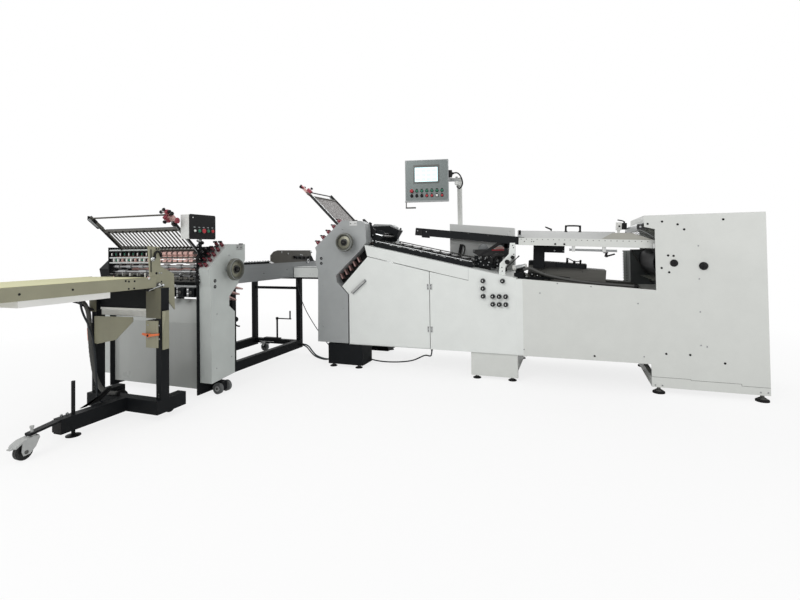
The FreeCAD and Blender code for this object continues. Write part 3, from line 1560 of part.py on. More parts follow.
def delivery_stand():
    """Dark stand: cross beam, foot beams, posts, outrigger beam with its castor arm."""
    right = delivery_right + 56
    left = delivery_right - delivery_width + 14
    front = stand_front
    top = stand_bottom + stand_height
    foot = 190
    parts = [box("stand_cross", (left, front, stand_bottom), (right - left, stand_beam, stand_height))]
    for name, x in (("left", left), ("right", right - stand_beam)):
        parts.append(box(f"stand_foot_{name}", (x, front + stand_beam, stand_bottom),
                         (stand_beam, foot, stand_height)))
    post_height = delivery_top - delivery_beam - 4 - top
    for name, x in zip(("left", "right"), stand_post_x()):
        parts.append(box(f"stand_post_{name}", (x, front + stand_post_setback, top),
                         (stand_post_width, stand_post_depth, post_height)))
    arm_x = outrigger_x()
    arm = box("outrigger", (arm_x - 36, stand_arm_end, stand_bottom),
              (72, front - stand_arm_end, stand_height))
    bore = cylinder("jack_bore", (arm_x - 6, jack_y(), stand_bottom - 1), "z",
                    jack_radius + shaft_clearance, stand_height + 2)
    parts.append(cut("outrigger_bored", arm, bore))
    arm_plate = [(arm_x - 20, stand_arm_end), (castor_x() - 24, castor_stem_y - 26),
                 (castor_x() + 24, castor_stem_y - 26), (arm_x + 36, stand_arm_end)]
    stem_hole = ((castor_x(), castor_stem_y), journal_radius + shaft_clearance)
    parts.append(plate("castor_arm", "XY", arm_plate, 134, 14, [stem_hole]))
    for index, y in enumerate((stand_arm_end + 40, stand_arm_end + 78)):
        parts.append(cylinder(f"outrigger_bolt_{index}", (arm_x - 20, y, top), "z", 9, 12))
    axle_left = left + stand_beam + axle_plate
    axle_right = right - stand_beam - axle_plate
    for name, x in (("left", axle_left - axle_plate), ("right", axle_right)):
        parts.append(box(f"axle_plate_{name}", (x, stand_wheel_y() - 25, stand_bottom - 18),
                         (axle_plate, 50, stand_height - 10)))
    parts.append(cylinder("stand_axle", (axle_left, stand_wheel_y(), stand_wheel_radius), "x", 7,
                          axle_right - axle_left))
    node("delivery_stand", parts)


def outrigger_x():
    return delivery_right - 292


def castor_x():
    """The castor stands a little to the right of the outrigger."""
    return outrigger_x() + castor_offset


def jack_y():
    return stand_arm_end + 110


def stand_wheel_y():
    return stand_front + stand_beam + 125


def stand_wheels():
    """Two wheels that share the stand's axle."""
    left = delivery_right - delivery_width + 14 + stand_beam
    right = delivery_right + 56 - stand_beam
    wheels = []
    for name, x in (("left", left + 26), ("right", right - 26)):
        wheels.append(turned(f"stand_wheel_{name}", wheel_profile(stand_wheel_radius, 28, 7.05),
                             (x, stand_wheel_y(), stand_wheel_radius), "x"))
    node("stand_wheels", wheels)


def floor_jack():
    """Screw foot that lifts the outrigger: disc, screw and plain upper rod."""
    profile = [(0, 0), (46, 0), (46, 6), (20, 14), (jack_radius, 16), (jack_radius, 372), (0, 372)]
    node("floor_jack", [turned("floor_jack_body", profile, (outrigger_x() - 6, jack_y(), 0), "z")])


def clamp_brackets():
    """Olive brackets that clamp the delivery to the stand's posts."""
    left_post, right_post = stand_post_x()
    front = stand_front + stand_post_setback
    t = 6
    wide = stand_post_width
    beam_bottom_z = delivery_top - delivery_beam
    plate_left = [(left_post + 35, 746), (left_post + 444, 752), (left_post + 444, 719),
                  (left_post + 264, 571), (left_post + 68, 529), (left_post + 35, 535)]
    parts = [plate("gusset_left", "XZ", plate_left, front - t, t)]
    parts.append(box("gusset_tongue", (left_post + wide, front, 560), (90, stand_post_depth, 170)))
    parts.append(box("clamp_box_right", (right_post - 94, front - t, 531), (94, stand_post_depth, 202)))
    parts.append(box("clamp_side_right", (right_post + wide, front + 10, 520), (12, 52, 285)))
    parts.append(box("carrier_right", (right_post - 91, front - t, 752), (141, t, beam_bottom_z - 752)))
    parts.append(box("carrier_left", (delivery_right - delivery_width, front - t, 780),
                     (72, t, beam_bottom_z - 780)))
    return parts


def clamp_lever_place():
    _, right_post = stand_post_x()
    return (right_post - 54, stand_front + stand_post_setback - 6, 625)


def clamp_lever():
    """Orange clamping lever on the right bracket."""
    x, y, z = clamp_lever_place()
    hub = group("lever_hub_seat",
                [turned("lever_hub", [(0, 0), (13, 0), (13, 20), (0, 20)], (0, 0, 0), "z")],
                (0, 0, 0), (1, 0, 0), 90)
    blade = plate("lever_blade", "XZ", [(-60, 4), (-8, -8), (8, -8), (96, 4), (98, 18), (8, 10),
                                         (-58, 16)], -18, 14)
    node("clamp_lever", [fuse("lever", [hub, blade])], (x, y - running_gap, z))


def castor_fork():
    """Swivel fork with stem, raked cheeks and axle."""
    x = castor_x()
    y = castor_stem_y
    width = 34
    top = 128
    stem = turned("castor_stem", [(0, 0), (24, 0), (24, 5), (8, 5.7), (8, 46), (12, 46), (12, 58), (0, 58)],
                  (x, y, top), "z")
    crown = box("castor_crown", (x - 26, y - 30, top - 8), (52, 56, 8))
    cheeks = []
    for name, side in (("left", -width / 2 - 5), ("right", width / 2)):
        outline = [(y - 30, top - 8), (y + 26, top - 8), (y - castor_trail + 16, castor_radius - 12),
                   (y - castor_trail - 14, castor_radius - 12)]
        cheeks.append(plate(f"castor_cheek_{name}", "YZ", outline, x + side, 5))
    axle = cylinder("castor_axle", (x - width / 2, y - castor_trail, castor_radius), "x", 5, width)
    pedal = plate("castor_pedal", "YZ",
                  [(y - 30, top - 8), (y - 30, top - 1), (y - 112, top - 36), (y - 130, top - 38),
                   (y - 130, top - 44), (y - 110, top - 44)], x - 15, 30)
    node("castor_fork", [stem, crown, axle, pedal] + cheeks)


def castor_wheel():
    x = castor_x()
    profile = wheel_profile(castor_radius, 28, 5.05)
    wheel = turned("castor_wheel_body", profile, (x, castor_stem_y - castor_trail, castor_radius), "x")
    node("castor_wheel", [wheel])


# ---------------------------------------------------------------- control panel

def panel_post_centre():
    return (as_size(-749), line_depth + post_width / 2)


def panel_post():
    """Post on the housing's back with the arm that carries the panel's swivel."""
    x, y = panel_post_centre()
    wide = post_width
    foot = box("post_foot", (x - wide / 2 - 10, line_depth, 620), (wide + 20, 10, 400))
    column = box("post_column", (x - wide / 2, line_depth + 10, 640),
                 (wide, wide - 10, post_top - 640))
    arm = box("post_arm", (x - 20, line_depth + 10 - 150, 1980), (40, 150, 40))
    pivot = cylinder("post_pivot", (x, line_depth - 120, 2020), "z", 11, 46)
    node("panel_post", [foot, column, arm, pivot])


def panel_pivot():
    x, _ = panel_post_centre()
    return (x, line_depth - 120)


def control_panel():
    """Touch-screen panel: folded case, bezel, rim, buttons, lip and its swivel knuckle."""
    x, y = panel_pivot()
    z = panel_middle - panel_height / 2
    left = -panel_width - 90
    front = -panel_depth - 20
    stop_x, stop_z = stop_place()
    case = cut("panel_case",
               box("panel_block", (left, front, z), (panel_width, panel_depth, panel_height)),
               cylinder("stop_bore", (stop_x, front - 1, stop_z), "y", stop_stem + shaft_clearance, 33))
    bezel = box("panel_bezel", (left + 95, front - 6, z + 205), (300, 6, 215))
    lip = box("panel_lip", (left, front - 30, z - 12), (panel_width, 40, 12))
    knuckle = cut("panel_knuckle",
                  box("knuckle_block", (-90, -26, 2020 + running_gap), (116, 52, 34)),
                  cylinder("knuckle_bore", (0, 0, 2010), "z", 11.05, 60))
    ear = box("panel_ear", (left + panel_width, front + 20, 2020 + running_gap), (20, 59, 34))
    parts = [case, bezel, lip, knuckle, ear]
    for row, count in ((118, 7), (62, 7)):
        for index in range(count):
            if row == 118 and index == 0:
                continue
            parts.append(button(f"panel_button_{row}_{index}", left + 75 + index * 58, front, z + row, 11))
    node("control_panel", parts, (x, y, 0), (0, 0, 1), panel_turn)


def button(name, x, y, z, radius):
    """A push button standing out towards -Y."""
    return cylinder(name, (x, as_size(y) - 9, z), "y", radius, 9)


def stop_place():
    """Axis of the emergency stop in the panel's own frame."""
    return (75 - panel_width - 90, panel_middle - panel_height / 2 + 118)


def emergency_stop():
    """Red mushroom button whose stem slides in the panel's bore."""
    x, y = panel_pivot()
    stop_x, stop_z = stop_place()
    front = -panel_depth - 20
    travel = 6
    inside = 22
    profile = [(0, -inside), (stop_stem, -inside), (stop_stem, travel + 8), (21, travel + 8),
               (21, travel + 20), (14, travel + 28), (0, travel + 28)]
    head = group("stop_head_seat", [turned("stop_head", profile, (0, 0, 0), "z")],
                 (stop_x, front, stop_z), (1, 0, 0), 90)
    node("emergency_stop", [head], (x, y, 0), (0, 0, 1), panel_turn)


# ---------------------------------------------------------------- cables

def cable_path(points):
    """Straight runs joined by tangent arcs, each as large as its two runs allow."""
    corners = [Vector(*point) for point in points]
    edges = []
    radii = []
    start = corners[0]
    for before, here, after in zip(corners, corners[1:], corners[2:]):
        incoming = here - before
        outgoing = after - here
        half_turn = incoming.getAngle(outgoing) / 2
        reach = 0.45 * min(incoming.Length, outgoing.Length)
        radius = reach / math.tan(half_turn)
        radii.append(radius)
        first = here - incoming * (reach / incoming.Length)
        last = here + outgoing * (reach / outgoing.Length)
        inwards = (first - here) + (last - here)
        middle = here + inwards * ((radius / math.cos(half_turn) - radius) / inwards.Length)
        edges.append(Part.LineSegment(start, first).toShape())
        edges.append(Part.Arc(first, middle, last).toShape())
        start = last
    edges.append(Part.LineSegment(start, corners[-1]).toShape())
    return Part.Wire(edges), radii


def cable(label, points, diameter):
    """A cable of round section along its route, as one closed solid."""
    path, radii = cable_path(points)
    direction = Vector(*points[1]) - Vector(*points[0])
    section = Part.Wire([Part.makeCircle(diameter / 2, Vector(*points[0]), direction)])
    solid = path.makePipeShell([section], True, True)
    thing = doc.addObject("Part::Feature", f"{label}_tube")
    thing.Shape = solid
    expected = math.pi * diameter ** 2 / 4 * path.Length
    print(f"{label}: length {path.Length:.0f}, tightest radius {min(radii):.0f},"
          f" volume ratio {solid.Volume / expected:.4f}")
    node(label, [thing])


# Routes in line coordinates, chosen by hand: floor loops, hanging leads and a hand-over lead.
LINK_ROUTE = [
    (-2589.7, 440, 104), (-2545, 440, 104), (-2495, 432, 84), (-2440, 410, 44), (-2370, 365, 14),
    (-2285, 300, 9), (-2195, 245, 9), (-2120, 208, 14), (-2065, 188, 28), (-2020, 182, 38),
    (-1980.3, 182, 38),
]
BOX_ROUTE = [
    (-2556, 330, 924.7), (-2556, 330, 892), (-2550, 324, 846), (-2534, 314, 784), (-2504, 304, 704),
    (-2458, 292, 612), (-2398, 278, 518), (-2326, 264, 426), (-2250, 250, 338), (-2174, 240, 256),
    (-2104, 232, 184), (-2046, 227, 132), (-2008, 225, 112), (-1980.3, 225, 111),
]
FLOOR_ROUTE = [
    (-1760, 260.3, 62), (-1760, 300, 61), (-1752, 335, 52), (-1730, 363, 38), (-1693, 380, 24),
    (-1643, 378, 13), (-1575, 356, 8.5), (-1490, 334, 8), (-1400, 334, 8.5), (-1310, 362, 8),
    (-1225, 396, 12), (-1145, 400, 30), (-1075, 375, 66), (-1010, 328, 104), (-955, 262, 128),
    (-905, 190, 138), (-870, 130, 154), (-853, 95, 178), (-844, 78, 204), (-840.6, 71, 228.5),
    (-840, 70, 249.5),
]
DELIVERY_ROUTE = [
    (-2660, -2190, 938.7), (-2660, -2190, 900), (-2672, -2172, 850), (-2702, -2130, 795),
    (-2748, -2074, 745), (-2800, -2016, 680), (-2838, -1968, 600), (-2858, -1942, 510),
    (-2863, -1932, 415), (-2859, -1930, 325), (-2852, -1931, 245), (-2848, -1932, 178),
    (-2846, -1918, 145), (-2844, -1893, 120), (-2841, -1860, 106), (-2841, -1823.3, 106),
]


def cables():
    cable("link_cable", LINK_ROUTE, 14)
    cable("box_cable", BOX_ROUTE, 9)
    cable("floor_cable", FLOOR_ROUTE, 14)
    cable("delivery_cable", DELIVERY_ROUTE, 14)


# ---------------------------------------------------------------- build and export

def build():
    feeder_sides()
    tower_cover()
    base_pedestals()
    levelling_feet()
    feeder_chassis()
    turning_drum()
    drum_tapes()
    tape_roller()
    upper_table()
    extension_rails()
    lower_table()
    register_housing()
    register_door()
    register_table()
    suction_wheel()
    air_knobs()
    gauge_bracket()
    blower_box()
    for unit, cover, frame, tie_u in (
            (1, unit1_outline(), unit1_frame_outline(), -120),
            (2, unit2_outline(), unit2_frame_outline(), -40)):
        bores = [((0, UNIT_AXIS[unit]), shaft_radius + shaft_clearance)]
        bores += [(roller_places(unit)[0], shaft_radius + shaft_clearance)]
        if unit == 2:
            bores += [(slitter_place(), shaft_radius + shaft_clearance)]
        unit_side_covers(unit, cover)
        unit_frames(unit, frame, bores, tie_u)
        handwheel(unit)
        fold_roller(unit)
        unit_pockets(unit)
        pocket_knobs(unit)
    unit1_base()
    infeed_hood()
    unit2_front_panel()
    slitter_shaft()
    unit2_wheels()
    button_panel()
    transfer_table()
    transfer_frame()
    transfer_crank()
    transfer_wheel()
    junction_box()
    delivery_frame()
    delivery_belt()
    delivery_roller()
    delivery_stand()
    stand_wheels()
    floor_jack()
    clamp_lever()
    castor_fork()
    castor_wheel()
    panel_post()
    control_panel()
    emergency_stop()
    cables()


def check():
    """Stop before anything is written if an object failed or a node isn't a valid solid."""
    for thing in doc.Objects:
        if "Invalid" in thing.State or "Error" in thing.State:
            raise RuntimeError(f"{thing.Label} failed: {thing.State}")
    for label, thing in nodes.items():
        shape = thing.Shape
        if shape.isNull() or not shape.isValid() or not shape.Solids:
            raise RuntimeError(f"{label} has no valid solid")


def export():
    os.makedirs("parts", exist_ok=True)
    for label, thing in nodes.items():
        thing.Shape.exportStep(f"parts/{label}.step")


build()
doc.recompute()
check()
export()
print(f"{len(nodes)} nodes written")
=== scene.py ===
"""Looks of the cross-fold paper folding line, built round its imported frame.

Places are written in millimetres in line coordinates, as in the part's source: x = 0 at the joint
of feeder and register housing, y = 0 at the operator's side, z = 0 on the floor.
"""
import math

import bmesh
import bpy
from mathutils import Matrix, Vector


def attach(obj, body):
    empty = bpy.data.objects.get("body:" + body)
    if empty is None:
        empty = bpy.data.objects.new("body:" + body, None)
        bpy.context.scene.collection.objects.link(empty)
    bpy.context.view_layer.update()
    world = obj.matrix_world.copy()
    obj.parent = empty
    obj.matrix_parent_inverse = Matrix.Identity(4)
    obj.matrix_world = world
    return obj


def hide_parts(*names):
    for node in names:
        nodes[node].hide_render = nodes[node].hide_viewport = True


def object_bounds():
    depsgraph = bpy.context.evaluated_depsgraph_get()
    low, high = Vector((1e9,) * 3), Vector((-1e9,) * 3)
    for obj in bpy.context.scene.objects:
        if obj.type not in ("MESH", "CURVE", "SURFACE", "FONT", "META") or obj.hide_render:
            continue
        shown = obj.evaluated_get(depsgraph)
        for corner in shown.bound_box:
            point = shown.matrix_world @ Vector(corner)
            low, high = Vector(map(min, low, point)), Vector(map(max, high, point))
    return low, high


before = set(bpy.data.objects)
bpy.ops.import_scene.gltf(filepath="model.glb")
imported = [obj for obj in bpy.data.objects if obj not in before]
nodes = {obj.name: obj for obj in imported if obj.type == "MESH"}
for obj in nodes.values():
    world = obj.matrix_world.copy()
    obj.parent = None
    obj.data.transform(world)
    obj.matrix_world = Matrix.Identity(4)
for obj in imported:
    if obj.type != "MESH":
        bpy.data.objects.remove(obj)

cad_low, cad_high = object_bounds()
FEEDER_END = 1935
LINE_BACK = 1050
ORIGIN = Vector((cad_high.x - FEEDER_END / 1000, cad_high.y - LINE_BACK / 1000, 0))


def at(x, y, z):
    """A point of line coordinates, in metres of the frame."""
    return ORIGIN + Vector((x, y, z)) / 1000


# ---------------------------------------------------------------- camera, light and floor

CAMERA_PLACE = (485, -4427, 1248)
CAMERA_YAW = 20.136
CAMERA_PITCH = 1.104
CAMERA_ROLL = -0.775
FOCAL_PIXELS = 466.08
AXIS_ROW = 239.38
IMAGE_WIDTH = 800
IMAGE_HEIGHT = 600
WHITE = (1, 1, 1, 1)
WORLD_FILL = 0.56
FLOOR_REACH = 60
FLOOR_COLOUR = (0.86, 0.86, 0.86, 1)
FLOOR_DROP = 0.0005
FADE_START = 2.0
FADE_END = 6.5
FADE_LEAST = 0.80


def turned(degrees, axis):
    return Matrix.Rotation(math.radians(degrees), 4, axis)


def put(name, data):
    """A new object that shows the data."""
    thing = bpy.data.objects.new(name, data)
    bpy.context.scene.collection.objects.link(thing)
    return thing


def make_camera():
    data = bpy.data.cameras.new("camera")
    data.sensor_width = 36
    data.lens = FOCAL_PIXELS / IMAGE_WIDTH * data.sensor_width
    data.shift_y = -(IMAGE_HEIGHT / 2 - AXIS_ROW) / IMAGE_WIDTH
    data.clip_start = 0.05
    data.clip_end = 200
    camera = put("camera", data)
    aim = turned(CAMERA_YAW, "Z") @ turned(90 + CAMERA_PITCH, "X") @ turned(CAMERA_ROLL, "Z")
    camera.matrix_world = Matrix.Translation(at(*CAMERA_PLACE)) @ aim
    bpy.context.scene.camera = camera


def area_light(name, place, target, size, power):
    data = bpy.data.lights.new(name, "AREA")
    data.shape = "DISK"
    data.size = size
    data.energy = power
    light = put(name, data)
    light.location = at(*place)
    light.rotation_mode = "QUATERNION"
    light.rotation_quaternion = (at(*target) - at(*place)).to_track_quat("-Z", "Y")


def node(tree, kind, operation=None, **values):
    """A new shader node with values on its own sockets."""
    made = tree.nodes.new("ShaderNode" + kind)
    if operation:
        made.operation = operation
    set_sockets(made, **values)
    return made


def set_sockets(shader, **values):
    for socket, value in values.items():
        shader.inputs[socket.replace("_", " ")].default_value = value


def make_world():
    """White for the camera and in reflections, a weaker white light for all other rays."""
    world = bpy.data.worlds.new("studio")
    bpy.context.scene.world = world
    world.use_nodes = True
    tree = world.node_tree
    join = tree.links.new
    fill = tree.nodes["Background"]
    set_sockets(fill, Color=WHITE, Strength=WORLD_FILL)
    path = node(tree, "LightPath")
    seen = node(tree, "Math", "MAXIMUM")
    join(path.outputs["Is Camera Ray"], seen.inputs[0])
    bright = node(tree, "Math", "MAXIMUM")
    join(path.outputs["Is Glossy Ray"], bright.inputs[0])
    join(path.outputs["Is Transmission Ray"], bright.inputs[1])
    join(bright.outputs[0], seen.inputs[1])
    mix = node(tree, "MixShader")
    join(seen.outputs[0], mix.inputs[0])
    join(fill.outputs[0], mix.inputs[1])
    join(node(tree, "Background", Color=WHITE, Strength=1).outputs[0], mix.inputs[2])
    join(mix.outputs[0], tree.nodes["World Output"].inputs["Surface"])


def make_floor():
    """A pale floor that keeps the soft shadow near the line and fades to white far from it."""
    mesh = bpy.data.meshes.new("floor")
    reach = FLOOR_REACH
    mesh.from_pydata([(-reach, -reach, 0), (reach, -reach, 0), (reach, reach, 0), (-reach, reach, 0)],
                     [], [(0, 1, 2, 3)])
    floor = put("floor", mesh)
    floor.location.z = -FLOOR_DROP
    material = bpy.data.materials.new("floor")
    material.use_nodes = True
    tree = material.node_tree
    join = tree.links.new
    shader = tree.nodes["Principled BSDF"]
    set_sockets(shader, Base_Color=FLOOR_COLOUR, Roughness=0.9, Specular_IOR_Level=0.1)
    distance = node(tree, "VectorMath", "LENGTH")
    join(node(tree, "TexCoord").outputs["Object"], distance.inputs[0])
    fade = node(tree, "MapRange", From_Min=FADE_START, From_Max=FADE_END, To_Min=FADE_LEAST)
    join(distance.outputs["Value"], fade.inputs["Value"])
    amount = node(tree, "Math", "MULTIPLY")
    join(node(tree, "LightPath").outputs["Is Camera Ray"], amount.inputs[0])
    join(fade.outputs["Result"], amount.inputs[1])
    mix = node(tree, "MixShader")
    join(amount.outputs[0], mix.inputs[0])
    join(shader.outputs[0], mix.inputs[1])
    join(node(tree, "Emission", Color=WHITE).outputs[0], mix.inputs[2])
    join(mix.outputs[0], tree.nodes["Material Output"].inputs["Surface"])
    mesh.materials.append(material)


# ---------------------------------------------------------------- materials

def linear(value):
    """One channel of a colour, from a 0-255 screen value to linear light."""
    value /= 255
    return value / 12.92 if value <= 0.04045 else ((value + 0.055) / 1.055) ** 2.4


def textured(name, screen, spread, roughness, metallic=0.0, scale=(6, 6, 6), fine=260, bump=0.03,
             coat=0.0, specular=0.5):
    """A surface whose colour and roughness drift slowly and whose bump is fine."""
    material = bpy.data.materials.new(name)
    material.use_nodes = True
    tree = material.node_tree
    join = tree.links.new
    shader = tree.nodes["Principled BSDF"]
    set_sockets(shader, Metallic=metallic, Coat_Weight=coat, Specular_IOR_Level=specular)
    place = node(tree, "TexCoord").outputs["Object"]
    stretch = node(tree, "Mapping", Scale=scale)
    join(place, stretch.inputs["Vector"])
    drift = node(tree, "TexNoise", Scale=1, Detail=5, Roughness=0.6)
    join(stretch.outputs["Vector"], drift.inputs["Vector"])
    ramp = node(tree, "ValToRGB")
    for stop, position, factor in zip(ramp.color_ramp.elements, (0.32, 0.68), (1 - spread, 1 + spread)):
        stop.position = position
        stop.color = [min(1, linear(channel) * factor) for channel in screen] + [1]
    join(drift.outputs["Fac"], ramp.inputs["Fac"])
    join(ramp.outputs["Color"], shader.inputs["Base Color"])
    rough = node(tree, "MapRange", To_Min=max(0.04, roughness - 0.07), To_Max=min(1, roughness + 0.07))
    join(drift.outputs["Fac"], rough.inputs["Value"])
    join(rough.outputs["Result"], shader.inputs["Roughness"])
    grain = node(tree, "TexNoise", Scale=fine, Detail=2)
    join(place, grain.inputs["Vector"])
    relief = node(tree, "Bump", Strength=bump, Distance=0.002)
    join(grain.outputs["Fac"], relief.inputs["Height"])
    join(relief.outputs["Normal"], shader.inputs["Normal"])
    return material


def glowing(name, screen, strength, scale):
    """A lit screen: soft blocks of two tints."""
    material = textured(name, screen, 0.04, 0.2, scale=scale, bump=0.0)
    tree = material.node_tree
    shader = tree.nodes["Principled BSDF"]
    ramp = next(node for node in tree.nodes if node.type == "VALTORGB")
    tree.links.new(ramp.outputs["Color"], shader.inputs["Emission Color"])
    set_sockets(shader, Emission_Strength=strength)
    return material


BRUSHED_X = (2, 160, 160)
BRUSHED_Y = (160, 2, 160)
BRUSHED_Z = (160, 160, 2)

pale_paint = textured("pale_paint", (208, 210, 206), 0.02, 0.42, coat=0.15)
white_paint = textured("white_paint", (222, 225, 222), 0.02, 0.42, coat=0.15)
blower_paint = textured("blower_paint", (203, 205, 203), 0.02, 0.42, coat=0.15)
grey_paint = textured("grey_paint", (157, 160, 160), 0.04, 0.38, coat=0.2, fine=420, bump=0.06)
unit2_paint = textured("unit2_paint", (188, 193, 190), 0.04, 0.38, coat=0.2, fine=420, bump=0.06)
dark_paint = textured("dark_paint", (23, 25, 27), 0.12, 0.5, fine=420, bump=0.08, specular=0.12)
graphite = textured("graphite", (46, 46, 46), 0.12, 0.42, 0.3, specular=0.25)
olive_paint = textured("olive_paint", (146, 144, 122), 0.06, 0.45, coat=0.1)
olive_dark = textured("olive_dark", (92, 90, 72), 0.08, 0.45, coat=0.1)
steel = textured("steel", (176, 178, 178), 0.10, 0.32, 1, BRUSHED_X)
steel_across = textured("steel_across", (176, 178, 178), 0.10, 0.32, 1, BRUSHED_Y)
dark_steel = textured("dark_steel", (92, 92, 90), 0.15, 0.4, 0.9, BRUSHED_Y)
chromed = textured("chromed", (205, 207, 208), 0.04, 0.15, 1)
cast_wheel = textured("cast_wheel", (96, 97, 90), 0.05, 0.4, 0.55, fine=500, bump=0.05)
hub_olive = textured("hub_olive", (134, 133, 118), 0.05, 0.35, 0.5)
alloy = textured("alloy", (196, 197, 196), 0.05, 0.36, 0.85, BRUSHED_X)
slat_metal = textured("slat_metal", (104, 100, 98), 0.10, 0.6, 0.1, BRUSHED_Z)
slat_dark = textured("slat_dark", (78, 76, 70), 0.12, 0.5, 0.2, BRUSHED_Z)
strip_pale = textured("strip_pale", (196, 201, 199), 0.08, 0.35, scale=BRUSHED_Z)
rubber = textured("rubber", (34, 34, 34), 0.2, 0.8, fine=700, bump=0.15, specular=0.1)
tyre_grey = textured("tyre_grey", (96, 98, 98), 0.08, 0.7, fine=500, bump=0.1)
black = textured("black_plastic", (17, 17, 18), 0.15, 0.45, fine=600, bump=0.05, specular=0.2)
# Flat black for openings and recesses: painted shade where the inside of a hole, slot or throat would be.
hole_shade = textured("painted_hole_shade", (12, 12, 12), 0.2, 0.9)
red = textured("red_plastic", (176, 40, 50), 0.08, 0.35)
pink = textured("pink_anodised", (150, 66, 78), 0.10, 0.35, 0.5)
orange = textured("orange_plastic", (232, 118, 66), 0.06, 0.4)
green = textured("green_plastic", (22, 112, 84), 0.08, 0.3)
white = textured("white_plastic", (232, 232, 228), 0.03, 0.35)
belt_cloth = textured("belt_cloth", (198, 196, 158), 0.05, 0.7, scale=(40, 4, 40), fine=900, bump=0.2)
tape_cloth = textured("tape_cloth", (150, 152, 140), 0.08, 0.75, fine=1200, bump=0.3)
brushed_panel = textured("brushed_panel", (112, 118, 117), 0.10, 0.36, 0.85, BRUSHED_X)
screen_glass = glowing("screen_glass", (206, 238, 243), 0.9, (5, 5, 9))
screen_tile = glowing("screen_tile", (196, 226, 232), 0.75, (9, 9, 9))
cable_sheath = textured("cable_sheath", (36, 40, 44), 0.1, 0.5, fine=300, specular=0.3)
roller_pink = textured("roller_pink", (216, 176, 168), 0.12, 0.45, scale=BRUSHED_Y, fine=500, bump=0.1)
throat_pink = textured("throat_pink", (196, 160, 156), 0.08, 0.35, 0.6, BRUSHED_Z)
rail_grey = textured("rail_grey", (150, 153, 154), 0.05, 0.38, 0.4, BRUSHED_Y)
bracket_brown = textured("bracket_brown", (88, 86, 80), 0.10, 0.42, 0.3)
guard_grey = textured("guard_grey", (190, 189, 183), 0.03, 0.4, 0.3, BRUSHED_X)
guard_dark = textured("guard_dark", (158, 157, 149), 0.04, 0.4, 0.3, BRUSHED_X)
castor_grey = textured("castor_grey", (172, 174, 173), 0.05, 0.4, fine=500, bump=0.05)
wall_dark = textured("wall_dark", (82, 87, 87), 0.12, 0.3, scale=(3, 3, 9))
splash_grey = textured("splash_grey", (168, 171, 168), 0.05, 0.3, scale=(3, 3, 1.5), coat=0.3)
board_grey = textured("board_grey", (92, 91, 86), 0.08, 0.5, scale=(3, 8, 30), fine=500, bump=0.1)
hose_teal = textured("hose_teal", (48, 66, 72), 0.12, 0.4, fine=400, bump=0.1)
hose_grey = textured("hose_grey", (66, 66, 64), 0.12, 0.55, fine=400, bump=0.1)


# ---------------------------------------------------------------- frames of the groups, CAD paint

def group(x, y, z, degrees, axis="Y"):
    """The frame of a tilted or turned group, in line coordinates."""
    return Matrix.Translation((x, y, z)) @ turned(degrees, axis)


LINE = Matrix.Identity(4)
REGISTER_SLOPE = 12.17
WHEEL_1 = 1319  # heights of the handwheels' axes
WHEEL_2 = 1082
KNOB_FACE = -34.3
EXIT_FACE = -2590  # the face of the transfer table's exit bracket
BELT_SIDE = -2445  # the outer face of the delivery's right end plate
STAND_FACE = -1787  # the front of the delivery stand's posts
RAIL_FACE = 100  # the near face of the upper table's rail
FAR = 9000  # beyond the line on every side
UNIT1 = Matrix.Translation((-1725, 0, 0))
UNIT2 = group(-2390, -1050, 0, 90, axis="Z")
UPPER_TABLE = group(22, 0, 1335, 2.3)
EXTENSION = group(70, 0, 1338, 6.3)
RETURN_TABLE = group(0, 0, 953, 4.31)
REGISTER = group(-1534, 0, 1286.8, REGISTER_SLOPE)
POCKET1 = UNIT1 @ group(-219, 0, 1548, 225)
POCKET2 = UNIT2 @ group(-219, 0, 1255, 222.5)
SHOULDER1 = UNIT1 @ Matrix.Translation((-395, 0, 1269)) @ Matrix.Rotation(-math.atan2(284, 325), 4, "Y")
SHOULDER2 = UNIT2 @ Matrix.Translation((-242, 0, 1093)) @ Matrix.Rotation(-math.atan2(214, 242), 4, "Y")
PANEL = group(-749, 880, 0, 12, axis="Z")


def paint(name, material, *regions, place=LINE, fresh=True):
    """Give a CAD node its material; faces whose centre lies in a region's box get that region's.

    A region is (low corner, high corner, material) in millimetres of the frame given as place, and
    a later one wins. A node that isn't fresh keeps its paint outside the regions.
    """
    mesh = nodes[name].data
    if fresh:
        mesh.materials.clear()
        mesh.materials.append(material)
        mesh.polygons.foreach_set("material_index", [0] * len(mesh.polygons))
    back = place.inverted()
    for low, high, other in regions:
        mesh.materials.append(other)
        for face in mesh.polygons:
            centre = back @ ((face.center - ORIGIN) * 1000)
            if all(low[axis] <= centre[axis] <= high[axis] for axis in range(3)):
                face.material_index = len(mesh.materials) - 1


def slab(axis, low, high, material):
    """A region that is bounded along one axis only."""
    corners = [[-FAR, -FAR, -FAR], [FAR, FAR, FAR]]
    corners[0]["xyz".index(axis)] = low
    corners[1]["xyz".index(axis)] = high
    return (*corners, material)


